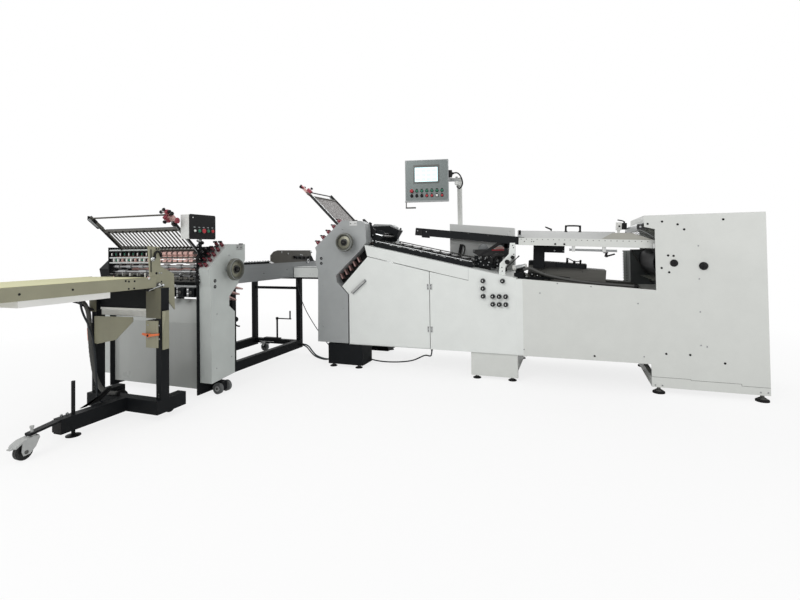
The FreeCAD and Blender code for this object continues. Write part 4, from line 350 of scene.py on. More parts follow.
def paint_nodes():
    """Finish the CAD nodes that stay in view."""
    plain = {
        pale_paint: ("feeder_sides", "tower_cover", "base_pedestals", "panel_post"),
        white_paint: ("junction_box",),
        blower_paint: ("blower_box",),
        grey_paint: ("unit1_covers",),
        dark_paint: ("turning_drum", "unit1_base", "infeed_hood", "extension_rails", "transfer_frame"),
        splash_grey: ("unit2_front_panel",),
        steel: ("delivery_roller",),
        steel_across: ("tape_roller", "slitter_shaft"),
        graphite: ("castor_wheel",),
        castor_grey: ("castor_fork",),
        tyre_grey: ("transfer_wheel", "unit2_wheels"),
        black: ("air_knob_1", "air_knob_2", "air_knob_3", "valve_knobs", "transfer_crank", "floor_jack",
                "stand_wheels"),
        orange: ("clamp_lever",),
        red: ("emergency_stop",),
        belt_cloth: ("delivery_belt",),
        tape_cloth: ("drum_tapes",),
        cable_sheath: ("link_cable", "box_cable", "floor_cable", "delivery_cable"),
    }
    for material, names in plain.items():
        for name in names:
            paint(name, material)
    paint("levelling_feet", rubber, slab("z", 20, 60, dark_steel))
    paint("feeder_chassis", dark_paint, ((1061, 962, 840), (1441, 969, 1210), wall_dark),
        ((985, 962, 840), (1062.5, 969, 1210), strip_pale), ((1000, 20, 1370), (1180, 980, 1440), graphite))
    paint("upper_table", alloy, ((-100, 99, -71), (1200, 109, 1), pale_paint),
        ((-100, 827, -71), (1200, 836, 1), pale_paint), ((-100, 836, -20), (900, 840, 89), guard_grey),
        ((700, 107, -20), (1140, 112, 63), guard_dark), ((395, 830, 88.5), (570, 850, 160), black),
        ((880, 750, 100), (943.5, 830, 190), white), ((943.6, 750, 100), (1000, 830, 190), black),
        ((900, 750, -18), (935, 830, 104), white), ((120, 290, -300), (600, 350, -62.5), dark_paint),
        # The dark band just under the near rail, over the guide bar's hangers and the top of the bar, is
        # painted shadow of the rail.
        ((440, 110, -96), (860, 145, -71), dark_paint), ((440, 120, -113), (860, 145, -91), rail_grey),
        ((740, 120, -170), (840, 145, -113), black), place=UPPER_TABLE)
    paint("unit2_covers", unit2_paint, ((-260, 1150, 880), (-60, 1280.5, 1340), dark_paint), place=UNIT2)
    paint("lower_table", graphite, ((60, 60, -40), (1100, 940, 121), board_grey),
        ((60, 355, 121.5), (800, 665, 170), dark_paint), place=RETURN_TABLE)
    paint("register_housing", white_paint, ((-840, -9, 415), (-800, -0.1, 900), steel))
    paint("register_door", white_paint, ((-1700, -40, 700), (-1480, -1, 960), alloy),
        ((-865, -9, 415), (-832, -0.1, 900), steel))
    paint("register_table", alloy, ((59, 99, -1), (1135, 113, 46), dark_paint),
        ((59, 849, -1), (1135, 863, 46), alloy), ((75, 150, 49), (1120, 200, 80), graphite),
        ((1150, 0, -1), (1290, 990, 170), black), ((100, 111, 31), (1100, 851, 49), dark_steel),
        place=REGISTER)
    paint("suction_wheel", rubber, slab("y", 288, 325, dark_steel), slab("y", 675, 720, dark_steel))
    paint("gauge_bracket", white_paint, slab("y", 0, 42.5, black),
        ((-45, 53, 1260), (-15, 120, 1290), steel))
    paint("unit1_frames", dark_paint, ((-140, 138, 1290), (-80, 862, 1350), roller_pink), place=UNIT1)
    paint("unit2_frames", dark_paint, ((-230, 138, 1130), (-130, 1143, 1190), roller_pink),
        ((-230, 138, 1000), (-180, 1143, 1100), steel_across), place=UNIT2)
    for name, place, axis, span in (("unit1_handwheel", UNIT1, WHEEL_1, (143, 858)),
            ("unit2_handwheel", UNIT2, WHEEL_2, (143, 1139))):
        paint(name, cast_wheel, ((-72, -92, axis - 72), (72, -60, axis + 72), hub_olive),
            ((-31, -107, axis - 31), (31, -57, axis + 31), black), slab("y", -57.9, 2000, steel),
            slab("y", *span, roller_pink), place=place)
    paint("unit1_fold_roller", steel, ((-200, 144, 0), (200, 857, 2000), roller_pink), place=UNIT1)
    paint("unit2_fold_roller", steel, ((-300, 144, 0), (200, 1138, 2000), roller_pink), place=UNIT2)
    for name, place, reach, slats, slats_end in (("unit1_pockets", POCKET1, 540, slat_metal, 409),
            ("unit2_pockets", POCKET2, 470, slat_dark, 250)):
        paint(name, steel, ((-150, 130, -15), (reach, 1150, 15), graphite),
            ((0, 148, -1), (410, 1100, 4), slats),
            ((slats_end, 148, -9), (430, 1100, 13), slat_dark), place=place)
    # The end bars in the near covers' throats are pinkish steel
    for name, place, low, high in (("unit1_pockets", UNIT1, (-160, 55, 900), (150, 126, 1240)),
            ("unit2_pockets", UNIT2, (0, 55, 750), (330, 126, 960))):
        paint(name, None, (low, high, throat_pink), place=place, fresh=False)
    for name, place in (("unit1_pocket_knobs", SHOULDER1), ("unit2_pocket_knobs", SHOULDER2)):
        paint(name, pink, slab("z", 49.5, 80, black), slab("z", -1, 7.9, steel), place=place)
    paint("button_panel", dark_paint, ((-448, -1, 1349), (-159, 91, 1546), blower_paint),
        ((-448, -0.5, 1349), (-159, 0.5, 1546), black), ((-500, -11, 1380), (-150, -0.6, 1450), steel),
        place=UNIT2)
    paint("transfer_table", alloy, slab("x", -2600.5, -2589, rail_grey),
        slab("x", -3291, -3279, rail_grey), ((-2601, -200, 1103.1), (-2589, 800, 1300), bracket_brown),
        ((-2655, -800, 1097), (-2615, -80, 1110), black))
    paint("delivery_frame", olive_paint, ((-3070, -1770, 700), (-2380, -1700, 960), dark_paint),
        # The brush's holder strip behind the white bristles is graphite, painted shade in the gaps between
        # the bristles.
        ((-3070, -1770, 700), (-2380, -1752, 815.5), graphite),
        ((-3130, -2710, 938), (-2430, -2139, 986), white),
        ((-3120, -1794, 733), (-3047, -1786, 980), olive_dark),
        ((-2519, -1794, 733.5), (-2376, -1786, 980), olive_dark))
    paint("delivery_stand", dark_paint, ((-2760, -2270, 150.1), (-2730, -2200, 165), steel),
        ((-3000, -1650, 50), (-2450, -1580, 70), steel))
    paint("control_panel", brushed_panel, slab("y", -104.9, 60, grey_paint),
        ((-130, -30, 2019), (60, 60, 2060), grey_paint),
        ((-600, -140, 1770), (-80, -60, 1787.9), grey_paint), place=PANEL)


# ---------------------------------------------------------------- forms of the dressed pieces

NEAR = (0, -1, 0)
AWAY = (0, 1, 0)
RIGHT = (1, 0, 0)
LEFT = (-1, 0, 0)
UP = (0, 0, 1)
DOWN = (0, 0, -1)
SHARP_ANGLE = 32
BEVEL_ANGLE = 40
pieces = []


class Piece:
    """A dressed piece of the line; the forms that the code makes after it belong to it."""

    def __init__(self, name, slot, bevel=0.8, place=LINE, body="line"):
        self.name = name
        self.slot = slot
        self.bevel = bevel
        self.place = place
        self.body = body
        self.mesh = bmesh.new()
        self.materials = []
        pieces.append(self)

    def done(self):
        """Hand the piece to Blender, in metres, and let it ride on its body."""
        bmesh.ops.recalc_face_normals(self.mesh, faces=self.mesh.faces)
        for vertex in self.mesh.verts:
            vertex.co = at(*vertex.co)
        data = bpy.data.meshes.new(self.name)
        self.mesh.to_mesh(data)
        self.mesh.free()
        for material in self.materials:
            data.materials.append(material)
        data.polygons.foreach_set("use_smooth", [True] * len(data.polygons))
        data.set_sharp_from_angle(angle=math.radians(SHARP_ANGLE))
        thing = put(self.name, data)
        if self.bevel:
            edge = thing.modifiers.new("edge", "BEVEL")
            edge.width = self.bevel / 1000
            edge.segments = 2
            edge.limit_method = "ANGLE"
            edge.angle_limit = math.radians(BEVEL_ANGLE)
            edge.harden_normals = True
        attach(thing, self.body)


def skin(rings, material, closed=False):
    """Skin a row of equally long point rings and close both ends."""
    piece = pieces[-1]
    if material not in piece.materials:
        piece.materials.append(material)
    rows = [[piece.mesh.verts.new(piece.place @ Vector(point)) for point in ring] for ring in rings]
    loops = []
    for one, other in zip(rows, rows[1:] + rows[:1] if closed else rows[1:]):
        for step in range(len(one)):
            after = (step + 1) % len(one)
            loops.append((one[step], one[after], other[after], other[step]))
    if not closed:
        loops += [rows[0][::-1], rows[-1]]
    for loop in loops:
        piece.mesh.faces.new(loop).material_index = piece.materials.index(material)


def circle(centre, side, up, radius, sides):
    angles = [2 * math.pi * step / sides for step in range(sides)]
    return [centre + (side * math.cos(angle) + up * math.sin(angle)) * radius for angle in angles]


def prism(outline, axis, start, end, material):
    """Extrude an outline, given in the two other coordinates, along x, y or z."""
    missing = "xyz".index(axis)
    skin([[(*point[:missing], level, *point[missing:]) for point in outline] for level in (start, end)],
         material)


def block(low, high, material):
    prism([low[:2], (high[0], low[1]), high[:2], (low[0], high[1])], "z", low[2], high[2], material)


def turn(start, direction, profile, material, sides=24):
    """Turn (distance, radius) points about a line."""
    along = Vector(direction).normalized()
    side = along.orthogonal().normalized()
    up = along.cross(side)
    skin([circle(Vector(start) + along * distance, side, up, max(radius, 0.05), sides)
          for distance, radius in profile], material)


def rod(start, end, radius, material, sides=20):
    run = Vector(end) - Vector(start)
    turn(start, run, [(0, radius), (run.length, radius)], material, sides)


def hose(points, radius, material, rib=0.0, sides=14):
    """A round hose through points; a rib swells every second ring."""
    corners = [Vector(point) for point in points]
    path = []
    for index in range(len(corners) - 1):
        before = corners[max(index - 1, 0)]
        here, there = corners[index], corners[index + 1]
        after = corners[min(index + 2, len(corners) - 1)]
        steps = max(4, int((there - here).length / max(radius, 6)))
        for step in range(steps):
            t = step / steps
            # A Catmull-Rom curve runs through all the corners
            path.append(0.5 * (2 * here + (there - before) * t
                               + (2 * before - 5 * here + 4 * there - after) * t * t
                               + (3 * here - before - 3 * there + after) * t ** 3))
    path.append(corners[-1])
    side = (path[1] - path[0]).orthogonal().normalized()
    rows = []
    for index, centre in enumerate(path):
        ahead = (path[min(index + 1, len(path) - 1)] - path[max(index - 1, 0)]).normalized()
        side = (side - ahead * side.dot(ahead)).normalized()
        swell = radius * (1 + (rib if index % 2 else 0))
        rows.append(circle(centre, side, ahead.cross(side), swell, sides))
    skin(rows, material)


def around(x, z, radius, angle):
    return x + radius * math.cos(angle), z + radius * math.sin(angle)


def screw(place, direction, radius, material=steel_across, height=3):
    """A low domed head with a socket."""
    turn(place, direction, [(-1, radius), (height * 0.6, radius), (height, radius * 0.75)], material, 16)
    # The socket is a flat dark disc, painted shade in the recess.
    tip = Vector(place) + Vector(direction).normalized() * (height - 0.4)
    turn(tip, direction, [(0, radius * 0.4), (0.7, radius * 0.4)], hole_shade, 6)


# ---------------------------------------------------------------- feeder

def plug(x, y, z, radius, side):
    """A round cap with a dished middle in a side plate."""
    turn((x, y, z), (0, side, 0),
         [(-1, radius), (1.5, radius), (2.5, radius * 0.8), (1, radius * 0.55)], black, 20)


def dress_feeder():
    """Plugs, screws, bearing caps, seams, end vents and window parts."""
    for name, y, side in (("near", 20, -1), ("far", 980, 1)):
        Piece(f"feeder_fasteners_{name}", "steel", 0)
        for x, z in ((1100, 1428), (1209, 1444), (1323, 1417), (1370, 1374), (1647, 1448), (1198, 1053),
                (1253, 1017), (1248, 1158), (1288, 1155), (1217, 334), (1391, 336), (1634, 284),
                (661, 279)):
            plug(x, y, z, 9, side)
        for x, z in ((1468, 1236), (1469, 965), (1470, 694), (1469, 420), (1512, 411), (1130, 69),
                (1183, 69), (1867, 73), (1917, 75), (210, 823), (1013, 749), (363, 912), (643, 888),
                (60, 300), (1050, 300)):
            screw((x, y, z), (0, side, 0), 7)
    Piece("drum_bearing_cap", "black_plastic", 0.4)
    for y, side in ((20, -1), (980, 1)):
        turn((1290, y, 1094), (0, side, 0), [(0.2, 30), (5, 30), (7, 27), (7, 9), (5, 8)], black, 40)
        # Eight holes in the cap, dark discs of painted shade.
        for step in range(8):
            x, z = around(1290, 1094, 18, math.pi * step / 4)
            turn((x, y + side * 7, z), (0, side, 0), [(-1, 4), (0.6, 4)], hole_shade, 10)
        turn((1502, y, 1070), (0, side, 0), [(0.2, 33), (6, 33), (9, 30), (20, 24), (22, 20)], black, 36)
        low, high = sorted((y + side * 20, y + side * 26))
        block((1497, low, 1046), (1507, high, 1094), black)
    Piece("feeder_seams", "pale_paint", 0)
    for y in (19.4, 979.8):
        for low, high in (((1105, 134), (1392, 136.4)), ((1390, 127), (1392.4, 136.4)),
                ((1390, 126), (1744, 128.4)), ((1742, 112), (1744.4, 128.4)), ((1742, 111), (1935, 113.4))):
            block((low[0], y, low[1]), (high[0], y + 0.8, high[1]), dark_steel)
    Piece("tower_end_dressing", "pale_paint", 0.6)
    for z in (190, 620, 1050, 1450):
        for y in (70, 500, 930):
            screw((1932, y, z), RIGHT, 6, height=2.6)
    # Vent slots drawn as dark strips, painted shade in the openings.
    for row in range(9):
        block((1932.2, 330, 260 + row * 26), (1934.4, 670, 270 + row * 26), hole_shade)
    Piece("window_fittings", "dark_paint", 0.6)
    # A row of holes drawn as dark discs, painted shade in them.
    for index in range(12):
        rod((1026, 962.6, 880 + index * 27), (1026, 958, 880 + index * 27), 5, hole_shade, 12)
    block((1052, 957, 862), (1060, 963, 1192), steel)
    rod((1075, 905, 1185), (1240, 905, 880), 6, dark_steel)
    rod((1075, 905, 1185), (1075, 963, 1185), 8, black)
    rod((1240, 905, 880), (1240, 963, 880), 8, black)


def dress_upper_table():
    """Rail holes, latches, handle, sensor box, hold-down, guide bar and tape guides."""
    Piece("rail_holes", "pale_paint", 0, UPPER_TABLE)
    # The holes along both rails are dark discs, painted shade in them.
    for index in range(23):
        x = 22 + index * 48.5
        turn((x, RAIL_FACE, -14), NEAR, [(-0.5, 4.2), (0.5, 4.2), (0.3, 3.0)], dark_steel, 12)
        turn((x, 836, -14), AWAY, [(2.6, 4.2), (3.5, 4.2)], dark_steel, 12)
    for x in (53, 118, 137):
        screw((x, RAIL_FACE, -35), NEAR, 5, dark_steel, 2)
    for x in (329, 408):
        turn((x, RAIL_FACE, -53), NEAR, [(-1, 9), (4, 9), (5, 7), (4, 5)], black)
    Piece("table_latches", "black_plastic", 1.2, UPPER_TABLE)
    block((-80, 829, 40), (-54, 835.8, 92), black)
    block((-86, 829, -10), (-48, 835.8, 44), steel)
    rod((262, 845, 60), (262, 845, 104), 7, black)
    block((254, 839, 56), (270, 852, 72), black)
    prism([(268, 92), (270, 112), (212, 134), (196, 137), (200, 124)], "y", 841, 857, black)
    rod((967, 790, 178), (967, 790, 196), 8, black)
    hose([(967, 790, 190), (950, 790, 200), (905, 790, 209)], 6, black)
    turn((920, 790, 144), NEAR, [(29, 9), (33, 9), (34, 7)], black, 18)
    for x, z in ((902, 118), (932, 118), (902, 170), (932, 170)):
        screw((x, 768, z), NEAR, 3.4, height=2)
    hose([(412, 837.5, 88), (411, 837.5, 126), (418, 837.5, 142), (440, 837.5, 146), (520, 837.5, 146),
        (543, 837.5, 142), (550, 837.5, 126), (550, 837.5, 88)], 8.5, black)
    for x in (412, 550):
        block((x - 14, 829.5, 80), (x + 14, 845.5, 92), black)
    Piece("hold_down_fittings", "dark_paint", 1.0, UPPER_TABLE)
    for x in (318, 399):
        screw((x, 292, -116), NEAR, 7, steel, 3)
    prism([(170, -62.5), (226, -62.5), (226, -133), (122.5, -133), (122.5, -100)], "y", 284, 291.6,
        dark_paint)
    # A hole drawn as a dark disc, painted shade in it.
    rod((300, 288, -95), (300, 292, -95), 5, hole_shade)
    block((236, 296, -276), (330, 304.6, -226), black)
    block((256, 309, -236), (310, 331, -226), white)
    Piece("guide_bar_fittings", "steel", 0.6, UPPER_TABLE)
    for x in (452, 846):
        turn((x, 132, -102), RIGHT, [(-1.5, 11.5), (5.5, 11.5)], steel)
    block((740, 118, -126), (778, 146, -114), black)
    turn((768, 130, -150), NEAR, [(6.2, 12), (12, 12), (14, 9)], black, 20)
    Piece("tape_guides", "steel", 0.5)
    for index in range(6):
        y = 120 + index * 148
        hose([(1056, y, 1384), (1110, y, 1352), (1190, y, 1300), (1262, y, 1252)], 3.4, steel, sides=8)
        block((1050, y - 6, 1378), (1062, y + 6, 1394), black)
    rod((1060, 33, 1382), (1060, 967, 1382), 6, dark_steel)


def dress_extension():
    """Rail ends, screws, hold-down wheels and the strut under the infeed rails."""
    Piece("extension_fittings", "dark_paint", 1.0, EXTENSION)
    for low, high in ((101.5, 107.9), (828, 834)):
        block((-1079, low, -70), (-1005, high, -12), black)
    for x, y in ((-1055, 101.5), (-965, 108)):
        screw((x, y, -30), NEAR, 6, steel, 3)
    for x in (-720, -530, -340):
        screw((x, 108, -10), NEAR, 5, dark_steel, 2.5)
    block((-1010, 112, -92), (-930, 134, -76.1), black)
    rod((-150, 123, 0), (-150, 123, 14), 6, steel)
    turn((-150, 123, 14), UP, [(0, 9), (6, 9), (8, 6)], steel, 16)
    block((-1079, 140, -20), (-1060, 796, -2), black)
    for index in range(4):
        y = 138 + (index + 0.5) * 165
        turn((-1049, y - 17, -14), AWAY, [(0, 14), (34, 14)], steel_across)
    Piece("suction_strut", "dark_paint", 0.8)
    prism([(-372, 1166), (-356, 1152), (-140, 1277), (-140, 1306), (-160, 1306)], "y", 112, 124, black)
    prism([(-190, 1304), (-66, 1318), (-66, 1236), (-112, 1236)], "y", 126, 134, dark_paint)
    block((-120, 126, 1120), (-84, 140, 1300), dark_paint)


def dress_suction():
    """The pump head over the register table: side plate, hoses, discs and adjusters."""
    Piece("suction_head", "dark_paint", 1.0)
    for low, high in ((284, 289.6), (700.4, 706)):
        prism([(-454, 1225), (-132, 1227), (-132, 1166), (-397, 1162), (-454, 1194)], "y", low, high,
            graphite)
    block((-440, 290, 1213), (-140, 700, 1221), graphite)
    block((-262, 277, 1213), (-140, 284.4, 1224), red)
    block((-236, 330, 1221), (-150, 660, 1252), roller_pink)
    screw((-442, 284, 1212), NEAR, 6, steel)
    for x, z, radius in ((-420, 1120, 16), (-372, 1104, 20), (-330, 1128, 14), (-290, 1096, 22),
            (-250, 1120, 16), (-226, 1070, 18), (-345, 1068, 18), (-398, 1080, 14)):
        turn((x, 270, z), AWAY, [(0, radius * 0.6), (4, radius), (16, radius), (18, radius * 0.7)],
            dark_paint, 20)
        turn((x, 266, z), AWAY, [(0, radius * 0.3), (6, radius * 0.3)], steel, 10)
        rod((x, 286, z), (x, 700, z), 6, dark_steel, 12)
    block((-440, 276, 1048), (-190, 288, 1100), dark_paint)
    block((-440, 284, 1090), (-400, 300, 1165), dark_paint)
    block((-200, 284, 1040), (-160, 300, 1168), dark_paint)
    hose([(-150, 262, 1160), (-172, 240, 1172), (-222, 232, 1166), (-258, 240, 1130), (-262, 260, 1086)],
        17, graphite, 0.07)
    hose([(-180, 262, 1165), (-204, 246, 1150), (-226, 244, 1108), (-230, 260, 1060)], 13, black, 0.07)
    turn((-187, 250, 1085), AWAY, [(0, 15), (3, 18), (22, 18), (26, 12), (60, 8)], black)
    turn((-207, 258, 1078), AWAY, [(0, 5), (40, 5)], chromed, 12)
    for x, z in ((-325, 1140), (-300, 1070), (-268, 1150), (-388, 1134)):
        turn((x, 262, z), AWAY, [(0, 4), (2, 6), (12, 6)], chromed, 12)
    Piece("register_rail_fittings", "steel", 0.5, REGISTER)
    for index in range(12):
        x = 84 + index * 84
        turn((x, 166, 61), UP, [(-1, 13), (6, 13), (9, 8)], black if index % 3 else dark_steel, 20)
        block((x - 10, 99.9, 44.5), (x + 10, 112.2, 52), black if index % 3 == 1 else steel)
    for index in range(27):
        x = 82 + index * 39
        turn((x, 174, 61), UP, [(-0.5, 7), (5, 6), (8, 3)], black, 12)
    rod((70, 106, 58), (1120, 106, 58), 4.5, steel)
    rod((70, 842, 60), (1120, 842, 60), 6, dark_steel)
    for x in (80, 590, 1110):
        block((x - 8, 836, 44.5), (x + 8, 848, 60), black)
        block((x - 8, 100.5, 44.5), (x + 8, 111.5, 58), black)
    block((800, 851, 44.5), (834, 861, 176), black)
    hose([(826, 856, 172), (854, 856, 162), (866, 856, 112), (860, 856, 46)], 6, black)


def dress_return_table():
    """Hoses, ball column, pile boards' parts and the dogleg bracket's knobs."""
    Piece("air_hoses", "rubber", 0)
    hose([(60, 96, 1030), (120, 84, 1046), (196, 74, 1014), (280, 72, 984), (404, 72, 955), (525, 72, 934),
        (684, 72, 914), (801, 72, 905), (915, 72, 898), (1000, 72, 892)], 13, hose_grey, 0.09)
    hose([(110, 130, 1030), (192, 122, 1004), (277, 116, 972), (403, 112, 948), (526, 110, 930),
        (686, 108, 916), (830, 106, 902)], 13, hose_grey, 0.09)
    hose([(90, 220, 1000), (180, 210, 990), (320, 190, 968), (470, 180, 946)], 10, black, 0.08)
    turn((1000, 72, 892), (1, 0, -0.05), [(-8, 17), (24, 17), (26, 12)], black, 20)
    Piece("return_fittings", "dark_paint", 0.8)
    rod((-20, 205, 1046), (66, 205, 1064), 24, steel)
    turn((66, 205, 1064), (86, 0, 18), [(0, 20), (12, 20), (16, 12)], white)
    turn((-20, 205, 1046), (-86, 0, -18), [(0, 26), (30, 26), (34, 16)], white)
    for x in (-10, 46):
        block((x - 9, 190, 948), (x + 9, 220, 1040), dark_paint)
    for x, y, z, radius in ((130, 190, 985, 26), (178, 200, 972, 20), (226, 210, 980, 24),
            (286, 190, 958, 18)):
        turn((x, y, z), AWAY, [(0, radius * 0.7), (5, radius), (46, radius), (50, radius * 0.5)], black)
        turn((x, y - 6, z), AWAY, [(0, 5), (8, 5)], chromed, 12)
        block((x - 12, y + 4, 930), (x + 12, y + 40, z), dark_paint)
    block((60, 150, 938), (330, 168, 962), dark_paint)
    # A dark block behind the hoses stands for painted shade there.
    block((-36, 160, 940), (56, 330, 996), dark_paint)
    block((-30, 240, 990), (40, 300, 1034), graphite)
    rod((-99, 60, 1043), (22, 60, 1158), 4, black)
    turn((22, 60, 1158), (-1, 0, -1), [(-8, 6), (14, 6)], black, 14)
    block((-108, 53.2, 1016), (-86, 66, 1052), black)
    Piece("pile_board_fittings", "black_plastic", 0.6, RETURN_TABLE)
    top = 163  # of the upper pile board
    prism([(424, top), (446, top), (446, top + 26), (436, top + 50), (424, top + 50)], "y", 424, 436, black)
    prism([(430, top + 46), (440, top + 50), (506, top + 20), (500, top + 12)], "y", 436, 446, black)
    rod((500, 418, top + 16), (500, 462, top + 16), 12, black)
    block((488, 424, top), (512, 456, top + 18), black)
    rod((500, 440, top + 16), (556, 440, top + 26), 5, steel)
    turn((556, 440, top + 12), UP, [(-12, 8), (8, 10), (22, 10), (26, 6)], black, 18)
    block((88, 366, 119.8), (600, 372, 124), dark_paint)
    for x in (120, 350, 580):
        screw((x, 360, 90), NEAR, 5, dark_steel, 2.5)
    Piece("dogleg_fittings", "black_plastic", 0.6)
    turn((-78, 13, 1106), AWAY, [(-4, 15), (0, 22), (14, 22), (20, 14)], black, 28)
    turn((-78, 8, 1106), AWAY, [(0, 9), (2, 11)], black, 20)
    for x, z in ((-29, 1262), (-22, 1240), (-20, 1178), (-130, 1020), (-132, 1055)):
        screw((x, 43, z), NEAR, 5.5, dark_steel, 3)


# ---------------------------------------------------------------- register housing

def dress_housing():
    """Hinge screws, seams, knob caps, the painted shadow round the door bar and the back's vents."""
    Piece("hinge_screws", "steel", 0)
    for z in (430, 462, 849, 881):
        for x in (-850, -821):
            screw((x, -3, z), NEAR, 4.5, dark_steel, 1.6)
    Piece("housing_seams", "white_paint", 0)
    rise = math.tan(math.radians(REGISTER_SLOPE))
    left, right = (956 - x * rise - 120 for x in (-832, -446))
    prism([(-832, left - 2), (-446, right - 2), (-446, right + 2.5), (-832, left + 2.5)], "y", -0.5, 0.4,
          dark_steel)
    block((-446.2, -0.5, right), (-444.4, 0.4, right + 120), rail_grey)
    caps = {"air_knob_1": [(-305, 930)], "air_knob_2": [(-305, 857)], "air_knob_3": [(-305, 784)],
        "line": [(-122, 930)] + [(x, z) for z in (785, 711) for x in (-215, -155, -95)]}
    for body, places in caps.items():
        Piece(f"knob_caps_{body}", "black_plastic", 0.3, body=body)
        for x, z in places:
            turn((x, KNOB_FACE, z), NEAR, [(-0.5, 12), (1.6, 12), (2.2, 10), (1, 8)], black, 28)
            turn((x, KNOB_FACE, z), NEAR, [(-0.5, 6), (2.4, 6), (3, 4)], alloy, 20)
            block((x - 1, KNOB_FACE - 2, z + 13), (x + 1, KNOB_FACE + 0.2, z + 18), white)
            for step in range(12):
                u, w = around(x, z, 19, math.pi * step / 6)
                turn((u, -10, w), NEAR, [(0, 1.8), (22, 1.8)], black, 8)
    Piece("knob_collars", "steel", 0.3)
    for places in caps.values():
        for x, z in places:
            turn((x, 0, z), NEAR, [(-0.5, 24), (0.2, 24), (0.24, 23)], rail_grey, 32)
    # A grey plate under the door bar, wider than the bar, is painted shadow round it; the bar's two end
    # screws ride in the same piece.
    Piece("door_bar_shadow_and_screws", "alloy", 0.5, group(-1668, 0, 782, -41), "register_door")
    block((-8, -1.6, -5), (204, -0.1, 27), rail_grey)
    for x in (6, 190):
        screw((x, -32, 11), NEAR, 4, dark_steel, 2)
    Piece("housing_back_dressing", "white_paint", 0.5)
    for x in (-1650, -1250, -850, -450, -60):
        for z in (290, 700):
            screw((x, 1000, z), AWAY, 6)
    # Vent slots drawn as dark strips, painted shade in the openings.
    for row in range(8):
        block((-1440, 999.8, 330 + row * 30), (-1080, 1001.6, 342 + row * 30), hole_shade)
    block((-700, 999.6, 320), (-160, 1002, 640), blower_paint)
    for x, z in ((-680, 340), (-180, 340), (-680, 620), (-180, 620)):
        screw((x, 1002, z), AWAY, 5)
    Piece("blower_fittings", "pale_paint", 0.6)
    # Vent slots drawn as dark strips, painted shade in the openings.
    for row in range(7):
        block((-640, 989.8, 1230 + row * 24), (-300, 991.4, 1240 + row * 24), hole_shade)
    for x in (-790, -150):
        screw((x, 870, 1420), NEAR, 5, steel, 2.5)
        screw((x, 990, 1420), AWAY, 5, steel, 2.5)
    turn((-250, 870, 1190), NEAR, [(-1, 44), (10, 44), (12, 36), (60, 36)], black, 32)
    turn((-450, 870, 1230), NEAR, [(-1, 58), (5, 58), (8, 50)], rail_grey, 40)
    hose([(-250, 812, 1190), (-252, 782, 1186), (-262, 752, 1160), (-268, 738, 1120)], 30, graphite, 0.06)


# ---------------------------------------------------------------- folding units

def unit_cover_fittings(name, place, sides, bolts, rings, plate_corner):
    """Bolts, ringed plugs and the small latch plate of a unit's covers."""
    Piece(name, "steel", 0.4, place)
    for y, side in sides:
        for u, z in bolts:
            screw((u, y, z), (0, side, 0), 7)
        for u, z in rings:
            turn((u, y, z), (0, side, 0), [(-1, 15), (2, 15), (3, 13), (1, 10)], black, 28)
            turn((u, y, z), (0, side, 0), [(-1, 5), (2.4, 5)], steel, 14)
    u, z = plate_corner
    block((u, -2.2, z), (u + 86, -0.1, z + 50), alloy)
    for step in (14, 58, 74):
        screw((u + step, -2, z + 24), NEAR, 6 if step == 14 else 4, dark_steel, 2.5)
    block((u + 34, -2.4, z + 50.2), (u + 92, -0.1, z + 60), black)


def handwheel_hub(name, body, place, axis):
    """Rubber cap, clamp screws and dark dish of a handwheel."""
    Piece(name, "black_plastic", 0.5, place, body=body)
    turn((0, -106, axis), NEAR, [(-2, 27), (3, 27), (5, 23), (5, 13), (3, 12)], black, 36)
    turn((0, -92, axis), NEAR, [(-7.8, 40), (3, 36), (3.6, 30)], dark_steel, 40)
    turn((0, -109, axis), NEAR, [(0, 6), (3.4, 6)], bracket_brown, 6)
    for step in range(3):
        x, z = around(0, axis, 17, math.pi / 2 + 2 * math.pi * step / 3)
        turn((x, -110, z), NEAR, [(0, 3), (1.8, 3)], dark_steel, 10)
    for inner, outer, y, material in ((67, 70, -91, dark_steel), (88, 92, -106.2, rail_grey)):
        rings = []
        for distance, radius in ((0, inner), (0, outer), (1.4, outer), (1.4, inner)):
            points = [around(0, axis, radius, math.pi * step / 24) for step in range(48)]
            rings.append([(x, y - distance, z) for x, z in points])
        skin(rings, material, closed=True)


